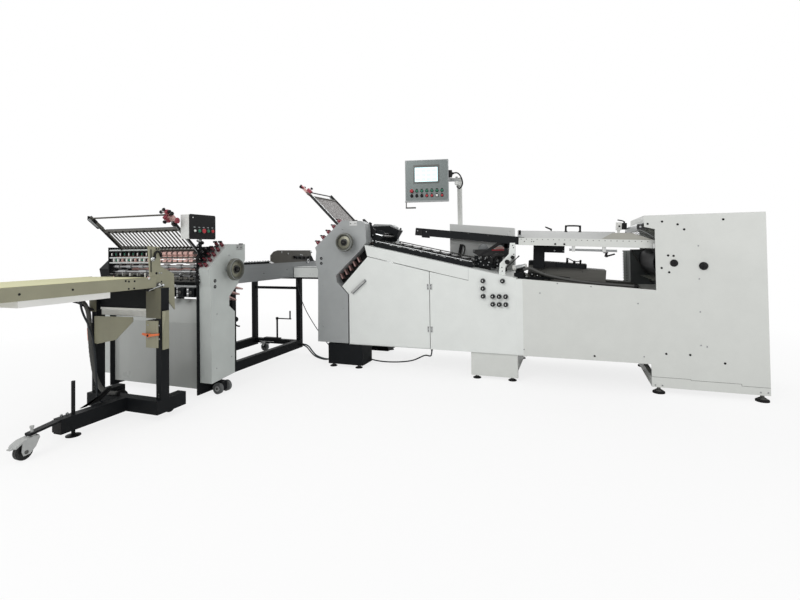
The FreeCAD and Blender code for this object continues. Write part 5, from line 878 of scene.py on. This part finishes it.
def end_cluster(name, place, arm_v, reach, tail, out, side):
    """Scale drive at the top of a pocket's near arm: pinkish carriage, black grips and a counter."""
    Piece(name, "red_plastic", 0.8, place)
    top = reach + out
    low, high = sorted((side * 14.2, side * 44))
    block((reach - 70, arm_v - 14, -14), (top - 14, arm_v - 0.2, 16), throat_pink)
    block((reach - 64, arm_v - 18, low), (reach - 6, arm_v + 16, high), pink)
    rod((top - 24, arm_v - 40, 2), (top - 24, arm_v + 40, 2), 8, steel)
    turn((top - 24, arm_v - 14, 2), NEAR, [(0, 18), (18, 18), (20, 14)], pink, 28)
    turn((top - 24, arm_v - 36, 2), NEAR, [(0, 9), (3, 14), (16, 14), (19, 10)], black)
    turn((top - 24, arm_v + 30, 2), AWAY, [(0, 12), (12, 15), (18, 12)], black)
    turn((reach - 54, arm_v - 14, 0), NEAR, [(0, 15), (12, 15), (14, 12)], dark_steel)
    turn((reach - 20, arm_v - 14, 0), NEAR, [(0, 11), (18, 11), (20, 8)], throat_pink)
    if side > 0:
        block((reach - 60, arm_v - 66, 4), (reach - 16, arm_v - 14.2, 34), throat_pink)
        turn((reach - 74, arm_v - 62, 12), NEAR, [(-14, 20), (0, 24), (6, 24), (8, 18)], pink, 28)
        rod((reach - 60, arm_v - 40, 12), (reach - 92, arm_v - 40, 12), 8, dark_steel)
        turn((reach + 6, arm_v - 70, 20), (0.5, -1, 0), [(-30, 7), (0, 10), (4, 15), (16, 15), (20, 10)],
            black, 22)
        turn((reach - 104, arm_v - 20, 26), NEAR, [(0, 16), (14, 18), (18, 12)], black)
        block((reach - 120, arm_v - 14, 8), (reach - 88, arm_v - 0.2, 34), dark_steel)
    middle = side * 44
    rod((reach - 36, arm_v, middle - side * 4), (reach - 36, arm_v, middle + side * 22), 6, steel)
    turn((reach - 36, arm_v, middle + side * 12), (0, 0, side), [(0, 9), (4, 15), (14, 15), (18, 10)],
        black, 22)
    turn((top - 14, arm_v - 7, 2), RIGHT, [(-2, 8), (10, 8), (12, 13), (22, 13), (25, 9)], black, 22)
    rod((tail, arm_v - 9, side * 20), (reach - 62, arm_v - 9, side * 20), 4, steel)
    block((tail - 4, arm_v - 13, min(0, side * 26)), (tail + 10, arm_v - 0.3, max(0, side * 26)), black)


def knob_bands(name, place, length):
    """Dark clamp rings and light lock rings round the pocket adjusters."""
    Piece(name, "steel", 0, place)
    for share in (0.1, 0.3, 0.5, 0.7, 0.9):
        for v in (34, 88):
            turn((share * length, v, 0), UP, [(16, 14.2), (16, 16), (24, 16), (24, 14.2)], black)
            turn((share * length, v, 0), UP, [(34, 14.2), (34, 15.4), (40, 15.4), (40, 14.2)], dark_steel)


def pocket_dressing(name, place, reach, grille, near_arm, far_arm):
    """Bolts, stiffener and stop parts on a pocket, seen from both faces."""
    Piece(name, "steel", 0.5, place)
    for x in (40, grille * 0.5, grille - 20):
        for v, side in ((near_arm, -1), (far_arm + 10, 1)):
            screw((x, v, 2), (0, side, 0), 5, dark_steel, 2.5)
    count = int((far_arm - near_arm) / 82)
    for index in range(count):
        v = near_arm + 40 + index * 82
        block((grille + 1, v - 6, 12), (grille + 14, v + 6, 20), black)
        rod((20, v, 3.2), (grille - 10, v, 3.2), 2.2, dark_steel, 8)
    if grille > 400:
        for v in range(near_arm + 28, far_arm - 20, 40):
            block((18, v - 10, -1.4), (grille - 12, v + 10, -0.2), slat_metal)
    else:
        for v in range(near_arm + 16, far_arm - 20, 40):
            block((18, v, -1.4), (grille - 12, v + 6, -0.2), slat_dark)
        prism([(grille + 30, -24), (reach - 16, -16), (reach + 12, 0), (reach - 10, 26),
            (grille + 60, 20)], "y", far_arm + 10.2, far_arm + 26, dark_paint)
        turn((reach - 30, far_arm + 26, 2), AWAY, [(-1, 12), (8, 12), (10, 8)], black, 20)
        block((grille + 2, near_arm, -20), (grille + 14, far_arm, -9.5), graphite)
    block((reach - 70, far_arm - 8, -12), (reach - 30, far_arm - 0.2, 12), black)
    rod((reach - 50, far_arm - 14, 0), (reach - 50, far_arm + 20, 0), 9, black)
    prism([(reach - 120, 14), (reach - 4, 14), (reach - 4, 30), (reach - 90, 24)], "y", far_arm,
        far_arm + 9, rail_grey)


def ring_row(u, z, start, end, count, radius, material, wide=0.4):
    """Evenly spaced collars on a shaft along v."""
    pitch = (end - start) / count
    for index in range(count):
        low = start + (index + 0.5 - wide / 2) * pitch
        turn((u, low, z), AWAY, [(0, radius - 2), (2, radius), (wide * pitch - 2, radius),
                                 (wide * pitch, radius - 2)], material, 20)


def dress_unit1():
    """Fittings, hub, scale drive, infeed linkage and roller nest."""
    unit_cover_fittings("unit1_fasteners", UNIT1, ((0, -1), (1000, 1)),
        [(-58, 1456), (-297, 865), (-60, 620), (-300, 420)], [(-320, 1152), (-320, 1098)], (23, 1492))
    handwheel_hub("unit1_wheel_hub", "unit1_handwheel", UNIT1, WHEEL_1)
    end_cluster("unit1_scale_drive", POCKET1, 137, 514, -60, 84, -1)
    knob_bands("unit1_knob_bands", SHOULDER1, 431.6)
    pocket_dressing("unit1_pocket_dressing", POCKET1, 514, 409, 147, 703)
    Piece("unit1_infeed_linkage", "black_plastic", 0.8, UNIT1)
    prism([(112, 1562), (134, 1570), (268, 1440), (268, 1396), (228, 1396), (150, 1486)], "y", 126, 140,
        black)
    turn((213, 126, 1517), NEAR, [(-14, 8), (0, 10), (8, 10), (10, 7)], black, 20)
    prism([(150, 1312), (262, 1312), (352, 1366), (358, 1432), (250, 1452), (150, 1452)], "y", 142, 149,
        dark_paint)
    prism([(150, 1500), (205, 1500), (250, 1440), (250, 1400), (150, 1400)], "y", 150, 162, dark_paint)
    rod((196, 130, 1530), (232, 130, 1470), 9, black)
    rod((160, 126, 1330), (160, 596, 1330), 16, steel)
    rod((232, 126, 1398), (232, 596, 1398), 9, steel)
    rod((232, 138, 1410), (330, 138, 1386), 11, chromed)
    turn((330, 138, 1386), (98, 0, -24), [(0, 14), (16, 14), (18, 8)], steel, 20)
    for u, z, radius in ((170, 1380, 22), (204, 1352, 18), (176, 1316, 20), (222, 1330, 14),
            (150, 1420, 16)):
        turn((u, 128, z), AWAY, [(0, radius * 0.6), (4, radius), (20, radius), (22, radius * 0.8)],
            dark_steel if radius > 17 else steel, 24)
    for index in range(6):
        v = 190 + index * 66
        for u, z in ((160, 1330), (232, 1398)):
            turn((u, v, z), AWAY, [(0, 20), (26, 20)], black if index % 2 else dark_steel, 22)
    block((118, 126, 1288), (240, 134, 1306), dark_paint)
    rod((338, 606, 1456), (372, 606, 1470), 5, steel)
    turn((366, 606, 1468), (34, 0, 14), [(0, 8), (4, 12), (16, 12), (18, 8)], black, 20)
    prism([(140, 1400), (330, 1440), (344, 1400), (330, 1330), (140, 1300)], "y", 596.2, 604, dark_paint)
    rod((300, 149, 1384), (300, 596, 1384), 12, dark_steel)
    rod((270, 149, 1412), (270, 596, 1412), 9, black)
    Piece("unit1_nest", "steel", 0.5, UNIT1)
    for u, z in ((-150, 1452), (-200, 1398), (-250, 1344)):
        rod((u, 137, z), (u, 863, z), 9, steel_across)
        ring_row(u, z, 150, 850, 8, 19, black)
    # A black sheet inside the near cover's throat is painted shade in the opening.
    Piece("unit1_throat_shade", "dark_paint", 0, UNIT1)
    prism([(-140, 940), (-120, 905), (-2, 790), (40, 842), (208, 1000), (180, 1238), (150, 1236),
        (-132, 985)], "y", 121, 124.6, hole_shade)


def dress_unit2():
    """The same for the second unit, with its gears, motor and button caps."""
    unit_cover_fittings("unit2_fasteners", UNIT2, ((0, -1),), [(13, 1209), (-142, 704), (40, 300),
        (-150, 240)], [(-164, 990), (-164, 940)], (110, 1254))
    handwheel_hub("unit2_wheel_hub", "unit2_handwheel", UNIT2, WHEEL_2)
    end_cluster("unit2_scale_drive", POCKET2, 137, 441, -30, 40, 1)
    knob_bands("unit2_knob_bands", SHOULDER2, 323)
    pocket_dressing("unit2_pocket_dressing", POCKET2, 441, 255, 147, 984)
    near, middle, far = 137, 640, 1144  # the nest between the frame plates
    Piece("unit2_nest", "steel", 0.4, UNIT2)
    for z in (1264, 1196, 1150):
        rod((-240, middle, z), (-240, far, z), 7, strip_pale)
        rod((-240, near, z), (-240, middle, z), 6, bracket_brown)
    block((-250, 1144.4, 1040), (-170, 1155.6, 1292), dark_paint)
    for z, radius in ((1230, 17), (1196, 15), (1160, 15), (1014, 14)):
        rod((-228, near, z), (-228, middle, z), 8, dark_steel)
        ring_row(-228, z, 160, 636, 8, radius, roller_pink if z > 1100 else bracket_brown, 0.66)
    for z, radius, material in ((1230, 15, black), (1174, 15, white), (1014, 17, roller_pink)):
        rod((-228, middle, z), (-228, far, z), 7, dark_steel)
        ring_row(-228, z, 650, 1130, 9, radius, material, 0.4)
    for index in range(9):
        v = 672 + index * 53
        block((-250, v - 6, 1208), (-232, v + 6, 1250), black)
        block((-246, v + 14, 1216), (-232, v + 24, 1238), green if index % 2 else white)
        block((-250, v - 14, 1160), (-236, v - 4, 1188), white if index % 3 else roller_pink)
        block((-248, v + 8, 1164), (-234, v + 20, 1184), green if index % 3 == 1 else black)
    for index in range(9):
        v = 190 + index * 112
        block((-240, v - 9, 990), (-224, v + 9, 1036), black)
        turn((-240, v, 1050), LEFT, [(0, 7), (10, 7), (12, 4)], chromed if index % 2 else black, 12)
    rod((-240, near, 1050), (-240, far, 1050), 7, dark_steel)
    rod((-232, near, 990), (-232, far, 990), 8, dark_steel)
    block((-214, near, 1272), (-196, far, 1290), dark_paint)
    Piece("unit2_side_gears", "black_plastic", 0.6, UNIT2)
    for u, z, radius in ((-232, 1180, 24), (-214, 1140, 20), (-238, 1092, 24), (-240, 1044, 22),
            (-238, 996, 24), (-196, 1240, 20), (-160, 1268, 18)):
        turn((u, 104, z), AWAY, [(0, radius * 0.7), (3, radius), (17, radius), (20, radius * 0.9)],
             black, 26)
        turn((u, 96, z), AWAY, [(0, 6), (10, 6)], chromed, 14)
    prism([(-262, 960), (-206, 960), (-206, 1120), (-180, 1250), (-150, 1285), (-190, 1285), (-236, 1215)],
        "y", 116, 124.6, dark_paint)
    turn((-196, 118, 1300), (0.6, 0, 1), [(-16, 6), (10, 6), (14, 15), (26, 18), (34, 12)], black, 22)
    rod((-228, 130, 1296), (-176, 130, 1330), 8, chromed)
    turn((-212, 126, 1338), NEAR, [(-16, 12), (6, 15), (12, 12)], steel, 22)
    Piece("unit2_drive_motor", "black_plastic", 0.8, UNIT2)
    turn((84, 62, 610), RIGHT, [(-4, 26), (10, 30), (70, 30), (74, 24), (96, 24), (100, 18)], black, 30)
    for index in range(6):
        turn((100 + index * 9, 62, 610), RIGHT, [(0, 34), (4, 34)], dark_paint, 30)
    hose([(150, 60, 590), (170, 60, 560), (196, 60, 544), (222, 60, 538)], 7, black)
    # A black sheet inside the near cover's throat is painted shade in the opening.
    Piece("unit2_throat_shade", "dark_paint", 0, UNIT2)
    prism([(13, 756), (86, 697), (130, 760), (216, 940), (127, 941), (14, 839)], "y", 121, 124.6, hole_shade)
    Piece("button_caps", "black_plastic", 1.0, UNIT2)
    corners = []
    for u, z, first in ((-437, 1359, 180), (-170, 1359, 270), (-170, 1535, 0), (-437, 1535, 90)):
        corners += [around(u, z, 14, math.radians(first + step * 22.5)) for step in range(5)]
    prism(corners, "y", -2.4, -0.1, black)
    for u, radius, material in ((-394, 9, white), (-344, 13, green), (-294, 18, red), (-244, 13, green),
                                (-194, 13, red)):
        turn((u, -2, 1414), NEAR, [(0, radius + 3), (3, radius + 3), (4, radius + 1)], dark_steel)
        turn((u, -2, 1414), NEAR, [(3, radius), (10, radius), (13, radius * 0.8)], material)
        block((u - 10, -3, 1440), (u + 10, -2.2, 1447), rail_grey)
    turn((-410, -2, 1522), NEAR, [(0, 5), (1.5, 5)], white, 14)
    Piece("unit2_inner_drive", "dark_paint", 0.8, UNIT2)
    for v in range(180, 1120, 118):
        block((-216, v, 850), (-176, v + 60, 930), dark_paint)
        turn((-218, v + 30, 890), LEFT, [(0, 14), (8, 14), (10, 9)], dark_steel, 18)
    rod((-214, near, 944), (-214, far, 944), 10, steel_across)
    block((-200, near, 955), (-160, far, 985), dark_paint)


# ---------------------------------------------------------------- transfer table and delivery

def dress_transfer():
    """Exit bracket, ball holders, junction box and wheel guard."""
    Piece("exit_bracket_fittings", "steel", 0.6)
    for y, z in ((191, 1203), (62, 1222), (450, 1185), (707, 1214), (480, 1180)):
        turn((EXIT_FACE, y, z), RIGHT, [(-1, 11), (5, 11), (8, 7)], steel, 20)
    turn((EXIT_FACE, 614, 1110), RIGHT, [(-1, 30), (6, 30), (10, 26), (10, 16), (5, 14)], chromed, 32)
    turn((EXIT_FACE, 614, 1110), RIGHT, [(0, 9), (14, 9), (16, 6)], dark_steel, 18)
    prism([(300, 1176), (640, 1160), (650, 1140), (560, 1126), (440, 1136), (310, 1150)], "x", -2589.8,
        -2574, black)
    for y in (340, 430, 520, 610):
        turn((-2576, y, 1152), RIGHT, [(0, 16), (10, 16), (14, 10)], black, 20)
    prism([(640, 1104), (760, 1104), (700, 1170), (660, 1170)], "x", -2589.8, -2582, dark_paint)
    for y in (-60, 60, 200, 380, 560, 700):
        screw((EXIT_FACE, y, 1240 - abs(y - 300) * 0.02), RIGHT, 5, dark_steel, 2.5)
    for y, z in ((-264, 1002), (168, 1020), (-700, 1010)):
        screw((EXIT_FACE, y, z), RIGHT, 6, dark_steel, 2.5)
    Piece("transfer_ball_holders", "black_plastic", 0.5)
    for index in range(15):
        y = -770 + index * 46
        turn((-2635, y, 1108), UP, [(-1, 15), (14, 15), (20, 10), (26, 9)], black, 20)
        turn((-2635, y, 1130), UP, [(0, 7), (5, 5), (7, 2)], chromed, 14)
    rod((-2616, -790, 1126), (-2616, -110, 1126), 4, steel)
    Piece("junction_box_fittings", "white_paint", 0.6)
    for x in (-2366, -2329):
        turn((x, 303, 964), NEAR, [(-0.5, 4), (1, 4)], rail_grey, 12)
    block((-2588, 300.6, 1040), (-2250, 302.9, 1046), rail_grey)
    for x in (-2570, -2270):
        for z in (940, 1032):
            screw((x, 303, z), NEAR, 4, steel, 1.6)
    Piece("frame_fittings", "steel", 0.6)
    turn((-2935, 460, 392), UP, [(0, 14), (8, 17), (26, 17), (30, 12)], black)
    Piece("wheel_guard", "alloy", 0.8)
    outline = ([(56, angle) for angle in range(30, 151, 18)]
               + [(62, angle) for angle in range(150, 24, -18)])
    rings = []
    for y in (430, 490):
        points = [around(-3116, 52, radius, math.radians(angle)) for radius, angle in outline]
        rings.append([(x, y, z) for x, z in points])
    skin(rings, castor_grey)


def dress_wheels():
    Piece("unit2_wheel_caps", "alloy", 0.4, body="unit2_wheels")
    for y, side in ((-1151, -1), (-1017, 1)):
        turn((-2430, y, 47), (0, side, 0), [(-1, 24), (1.5, 24), (2.5, 20), (1, 14)], alloy, 30)
        turn((-2430, y, 47), (0, side, 0), [(-1, 9), (4, 9), (5, 6)], dark_steel, 18)
    Piece("transfer_castor_plate", "steel", 0.8)
    block((-3170, 424, 118.5), (-2960, 496, 126), alloy)
    for low, high in ((424, 429), (491, 496)):
        prism([(-3146, 118.6), (-3086, 118.6), (-3100, 84), (-3112, 60), (-3120, 60), (-3132, 84)],
              "y", low, high, alloy)
    for x in (-3156, -3000):
        turn((x, 460, 126), UP, [(-1, 8), (6, 8), (8, 5)], chromed, 18)


def dress_delivery():
    """Fasteners, latches, levers, bristles, hoses, stand and castor."""
    Piece("delivery_fasteners", "steel", 0.4)
    # Dark dished discs in both end plates stand for holes, painted shade in them.
    for y, z in ((-2033, 1046), (-2008, 1041), (-1962, 1040), (-2009, 990), (-1966, 989), (-2400, 1018),
            (-2700, 1018)):
        turn((-2433, y, z), RIGHT, [(-1, 7), (2, 7), (2.4, 5), (1.2, 4)], hole_shade, 16)
        turn((-3119, y, z), LEFT, [(-1, 7), (2, 7), (2.4, 5), (1.2, 4)], hole_shade, 16)
    # Among these the dark ones are holes, painted shade in them, and the steel ones are screws.
    for y, z, radius, material in ((-1765, 1269, 7, hole_shade), (-1745, 1268, 7, hole_shade), (-1765, 1086, 9, hole_shade),
            (-1739, 1086, 6, steel), (-1720, 1085, 6, steel), (-1804, 1044, 7, hole_shade),
            (-1720, 1020, 6, hole_shade), (-1700, 900, 7, steel), (-1650, 960, 7, steel)):
        turn((BELT_SIDE, y, z), RIGHT, [(-1, radius), (2.4, radius), (3, radius * 0.7)], material, 18)
    turn((-2433, -1842, 1050), RIGHT, [(-1, 9), (5, 9), (7, 6)], chromed, 20)
    # A slot drawn as a dark strip, painted shade in it.
    block((BELT_SIDE - 0.5, -1818, 1095), (BELT_SIDE + 1, -1808, 1265), hole_shade)
    Piece("delivery_slide_knob", "steel", 0.6)
    turn((BELT_SIDE, -1806, 1192), RIGHT, [(0, 16), (10, 16), (12, 12), (22, 12), (24, 9)], chromed, 26)
    turn((BELT_SIDE, -1806, 1192), RIGHT, [(24, 5), (25, 5)], dark_steel, 6)
    hose([(-2440, -1788, 1200), (-2436, -1782, 1236), (-2436, -1762, 1250), (-2436, -1738, 1238),
        (-2438, -1728, 1210)], 8, black)
    turn((BELT_SIDE, -1788, 1204), RIGHT, [(0, 10), (14, 10)], black, 18)
    Piece("delivery_latches", "steel", 0.8)
    block((-2444, -1860, 958), (-2424, -1810, 978), black)
    rod((-2430, -1850, 962), (-2430, -1730, 990), 7, steel)
    turn((-2430, -1730, 990), (0, 120, 28), [(0, 12), (14, 12), (18, 8)], chromed, 20)
    turn((-2430, -1775, 968), RIGHT, [(-14, 14), (6, 14), (10, 9)], dark_steel, 20)
    prism([(-1800, 979), (-1740, 979), (-1722, 1010), (-1750, 1016), (-1790, 1000)], "x", -2444.8, -2436,
        dark_steel)
    turn((-2436, -1748, 1000), RIGHT, [(0, 8), (8, 8)], white, 16)
    Piece("belt_exit_guides", "black_plastic", 0.8)
    for index in range(4):
        x = -2748 + index * 76
        block((x - 16, -1838, 1058.5), (x + 16, -1792, 1076), black)
        turn((x, -1846, 1078), AWAY, [(0, 9), (26, 9)], dark_steel, 16)
        turn((x + 24, -1820, 1078), UP, [(-20, 4), (12, 4)], white if index % 2 else steel, 12)
    block((-2780, -1836, 1058.5), (-2500, -1796, 1068), black)
    rod((-2800, -1812, 1068), (-2456, -1812, 1068), 5, dark_steel)
    Piece("brush_bristles", "white_paint", 0)
    for index in range(44):
        x = -3012 + index * 12.4
        block((x, -1769, 757), (x + 7, -1764.2, 812), white)
    block((-3023, -1770, 800), (-2447, -1764.1, 816), white)
    Piece("left_clamp_lever", "orange_plastic", 1.0)
    turn((-3097, -1752, 636), LEFT, [(-1, 15), (8, 10), (60, 10)], dark_steel)
    turn((-3140, -1752, 636), LEFT, [(0, 12), (4, 15), (40, 15)], orange)
    prism([(-1770, 640), (-1752, 652), (-1738, 640), (-1748, 560), (-1754, 536), (-1764, 540)], "x", -3178,
        -3162, orange)
    Piece("right_clamp_cover", "olive_paint", 0.8)
    block((-2426.8, -1793, 533), (-2400, -1787.2, 733), olive_paint)
    prism([(-2364.8, 805), (-2335, 805), (-2335, 770), (-2364.8, 640)], "y", -1787, -1783, olive_paint)
    Piece("delivery_hoses", "cable_sheath", 0)
    hose([(-3080, -1980, 982), (-3086, -1960, 940), (-3100, -1900, 894), (-3116, -1838, 850),
        (-3103, -1812, 772), (-3087, -1810, 612), (-3070, -1810, 453), (-3031, -1812, 297),
        (-2976, -1816, 214), (-2921, -1816, 172), (-2860, -1812, 167), (-2802, -1806, 167)], 16, hose_grey,
        0.07)
    hose([(-3060, -2040, 982), (-3066, -2020, 930), (-3090, -1950, 880), (-3118, -1880, 856),
        (-3112, -1836, 826), (-3083, -1800, 800), (-3040, -1770, 790)], 7, black)
    turn((-3080, -1980, 983), (0, 0.2, -1), [(-6, 21), (16, 21), (30, 17)], black, 22)
    turn((-3060, -2040, 983), (0, 0.2, -1), [(-6, 12), (14, 12), (30, 8)], black, 20)
    turn((-2802, -1806, 163), RIGHT, [(-26, 17), (-14, 16.5), (14, 16.5)], black, 22)
    Piece("clamp_lever_cap", "black_plastic", 0.5, body="clamp_lever")
    turn((-2481, -1811.3, 625), NEAR, [(-2, 9), (4, 9), (6, 6)], black, 22)
    Piece("stand_fittings", "steel", 0.6)
    for x in (-3072, -2402):
        # Holes in the posts, dark discs of painted shade.
        for z in (300, 480, 640):
            turn((x, STAND_FACE, z), NEAR, [(-1, 6), (1.4, 6)], hole_shade, 14)
        block((x - 25.5, -1787.6, 970), (x + 25.5, -1713.4, 976), black)
        for z in (170, 190):
            screw((x, STAND_FACE, z), NEAR, 6, dark_steel)
    block((-2768, -2305, 60), (-2684, -2299.8, 140), black)
    for y in (-2260, -2222):
        turn((-2745, y, 162), UP, [(0, 7), (3, 7), (6, 4)], chromed, 16)
    for x in (-2500, -2390):
        for z in (600, 700):
            screw((x, -1793, z), NEAR, 6, steel)
    prism([(-2100, 150), (-2060, 150), (-1980, 190), (-1900, 240), (-1870, 240), (-1870, 216),
        (-1960, 162)], "x", -2790, -2778, black)
    Piece("castor_fittings", "grey_paint", 0.8, body="castor_fork")
    for side in (-1, 1):
        turn((-2655 + side * 22, -2547, 50), (side, 0, 0), [(-1, 12), (2, 12), (4, 8)], dark_steel, 20)
    prism([(-2468, 110), (-2474, 128), (-2520, 128), (-2566, 122), (-2602, 102), (-2608, 88), (-2602, 86),
        (-2566, 108), (-2530, 110)], "x", -2688, -2622, castor_grey)
    for low, high in ((-2688, -2682), (-2628, -2622)):
        prism([(-2500, 112), (-2470, 112), (-2492, 66), (-2526, 32), (-2562, 30), (-2572, 60),
            (-2566, 108)], "x", low, high, castor_grey)
    for side in (-1, 1):
        turn((-2655 + side * 33, -2547, 50), (side, 0, 0), [(-10, 9), (2, 12), (4, 8)], dark_steel, 20)


# ---------------------------------------------------------------- control panel

def dress_panel():
    """Screen, buttons, trim, hinge and post cap."""
    Piece("panel_screen", "black_plastic", 1.0, PANEL, body="control_panel")
    block((-492, -112.5, 1996), (-198, -110.9, 2205), dark_steel)
    block((-476, -113.6, 2012), (-214, -112.4, 2176), screen_glass)
    for z in (2024, 2074, 2124):
        for x in (-464, -402, -340, -278):
            block((x, -114.2, z), (x + 48, -113.5, z + 30), screen_tile)
    Piece("panel_button_caps", "black_plastic", 0.5, PANEL, body="control_panel")
    for left, z, colours in ((-457, 1906, (green,) * 6),
                             (-515, 1850, (black, black, black, red, red, white, red))):
        for index, material in enumerate(colours):
            x = left + 58 * index
            turn((x, -114, z), NEAR, [(-8.9, 19), (-5, 19), (-3, 17)], graphite, 28)
            turn((x, -114, z), NEAR, [(-4, 14), (4, 14), (6, 11)], material)
            block((x - 12, -106, z + 19), (x + 12, -105.1, z + 26), black)
    Piece("panel_trim", "grey_paint", 1.2, PANEL, body="control_panel")
    for low, high in (((-590, -107, 1788), (-582, -104.9, 2264)), ((-98, -107, 1788), (-90, -104.9, 2264)),
            ((-582, -107, 2256), (-98, -104.9, 2264)), ((-582, -107, 1788), (-98, -104.9, 1796))):
        block(low, high, rail_grey)
    for x in (-574, -106):
        for z in (1804, 2248):
            screw((x, -105, z), NEAR, 4.5, steel, 2)
    block((-588, -98, 1716), (-576, -90, 1776.2), dark_steel)
    block((-588, -110, 1706), (-470, -86, 1722), dark_steel)
    # Vent slots in the panel's back, dark strips of painted shade.
    for row in range(6):
        block((-520, -20.2, 1880 + row * 26), (-200, -18.6, 1890 + row * 26), hole_shade)
    Piece("panel_hinge", "black_plastic", 1.0, PANEL, body="control_panel")
    block((-91, -84, 2060), (-50, -30, 2140), black)
    turn((-60, -57, 2100), RIGHT, [(-6, 24), (12, 24), (16, 18)], black, 28)
    hose([(-52, -57, 2104), (10, -50, 2108), (52, -30, 2060), (66, -16, 1986), (34, -10, 1934),
        (0, 0, 1960)], 8, black)
    turn((-52, -57, 2104), (1, 0, 0.06), [(-8, 13), (10, 13), (26, 9)], black, 20)
    Piece("post_fittings", "grey_paint", 0.6)
    for z in (660, 720, 900, 980):
        screw((-724, 1030, z), RIGHT, 6)
    turn((-749, 880, 2066), UP, [(-1, 15), (3, 15), (6, 11)], black)
    block((-774.5, 1009.5, 2070), (-723.5, 1049.5, 2078), black)


# ---------------------------------------------------------------- strain reliefs

def dress_floor():
    """The second hose beside the link cable."""
    Piece("link_hose", "cable_sheath", 0)
    hose([(x + 10, y + 26, z + 1.5) for x, y, z in LINK_ROUTE[:-1]] + [(-1981, 204, 40)], 8, hose_teal,
        0.05)
    for place, direction in (((-2580, 466, 105.5), RIGHT), ((-1980.2, 204, 40), LEFT)):
        turn(place, direction, [(-4, 13), (8, 13), (28, 9)], black, 22)


def dress_glands():
    """Where a cable leaves or enters a housing it runs through a tapered rubber sleeve."""
    Piece("cable_glands", "rubber", 0.4)
    for place, direction, radius in (((-2589.9, 440, 104), RIGHT, 7), ((-1980.1, 182, 38), LEFT, 7),
            ((-2556, 330, 924.9), DOWN, 4.5), ((-1980.1, 225, 111), LEFT, 4.5),
            ((-1760, 260.1, 62), AWAY, 7), ((-840, 70, 249.9), DOWN, 7), ((-2660, -2190, 938.9), DOWN, 7),
            ((-2841, -1823.1, 106), NEAR, 7)):
        turn(place, direction, [(0, radius + 7), (7, radius + 7), (8, radius + 5), (12, radius + 4.5),
            (30, radius + 1)], black, 24)


# ---------------------------------------------------------------- cables

LINK_ROUTE = [(-2589.7, 440, 104), (-2545, 440, 104), (-2495, 432, 84), (-2440, 410, 44), (-2370, 365, 14),
    (-2285, 300, 9), (-2195, 245, 9), (-2120, 208, 14), (-2065, 188, 28), (-2020, 182, 38),
    (-1980.3, 182, 38)]
BOX_ROUTE = [(-2556, 330, 924.7), (-2556, 330, 892), (-2550, 324, 846), (-2534, 314, 784),
    (-2504, 304, 704), (-2458, 292, 612), (-2398, 278, 518), (-2326, 264, 426), (-2250, 250, 338),
    (-2174, 240, 256), (-2104, 232, 184), (-2046, 227, 132), (-2008, 225, 112), (-1980.3, 225, 111)]
FLOOR_ROUTE = [(-1760, 260.3, 62), (-1760, 300, 61), (-1752, 335, 52), (-1730, 363, 38), (-1693, 380, 24),
    (-1643, 378, 13), (-1575, 356, 8.5), (-1490, 334, 8), (-1400, 334, 8.5), (-1310, 362, 8),
    (-1225, 396, 12), (-1145, 400, 30), (-1075, 375, 66), (-1010, 328, 104), (-955, 262, 128),
    (-905, 190, 138), (-870, 130, 154), (-853, 95, 178), (-844, 78, 204), (-840.6, 71, 228.5),
    (-840, 70, 249.5)]
DELIVERY_ROUTE = [(-2660, -2190, 938.7), (-2660, -2190, 900), (-2672, -2172, 850), (-2702, -2130, 795),
    (-2748, -2074, 745), (-2800, -2016, 680), (-2838, -1968, 600), (-2858, -1942, 510),
    (-2863, -1932, 415), (-2859, -1930, 325), (-2852, -1931, 245), (-2848, -1932, 178),
    (-2846, -1918, 145), (-2844, -1893, 120), (-2841, -1860, 106), (-2841, -1823.3, 106)]


def cable(node, route, diameter):
    """A free cord in place of its CAD node, along the route's smooth line."""
    data = bpy.data.curves.new(f"{node}_line", "CURVE")
    data.dimensions = "3D"
    data.bevel_depth = diameter / 2000
    data.bevel_resolution = 4
    data.use_fill_caps = True
    spline = data.splines.new("NURBS")
    spline.points.add(len(route) - 1)
    for point, place in zip(spline.points, route):
        point.co = (*at(*place), 1)
    spline.order_u = 3
    spline.use_endpoint_u = True
    spline.resolution_u = 8
    data.materials.append(cable_sheath)
    curve = put(f"{node}_line", data)
    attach(curve, "line")
    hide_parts(node)


# ---------------------------------------------------------------- build

bpy.context.scene.view_settings.view_transform = "Standard"
make_camera()
make_world()
make_floor()
area_light("key", (-2500, -5200, 4200), (-600, 0, 900), 3.5, 130)
area_light("fill", (3800, -4200, 2600), (200, 200, 900), 4.0, 62)
area_light("back", (-600, 3800, 4400), (-600, 200, 900), 4.0, 85)
paint_nodes()
for dress in (dress_feeder, dress_upper_table, dress_extension, dress_suction, dress_return_table,
              dress_housing, dress_unit1, dress_unit2, dress_transfer, dress_wheels, dress_delivery,
              dress_panel, dress_floor, dress_glands):
    dress()
for piece in pieces:
    piece.done()
cable("link_cable", LINK_ROUTE, 14)
cable("box_cable", BOX_ROUTE, 9)
cable("floor_cable", FLOOR_ROUTE, 14)
cable("delivery_cable", DELIVERY_ROUTE, 14)
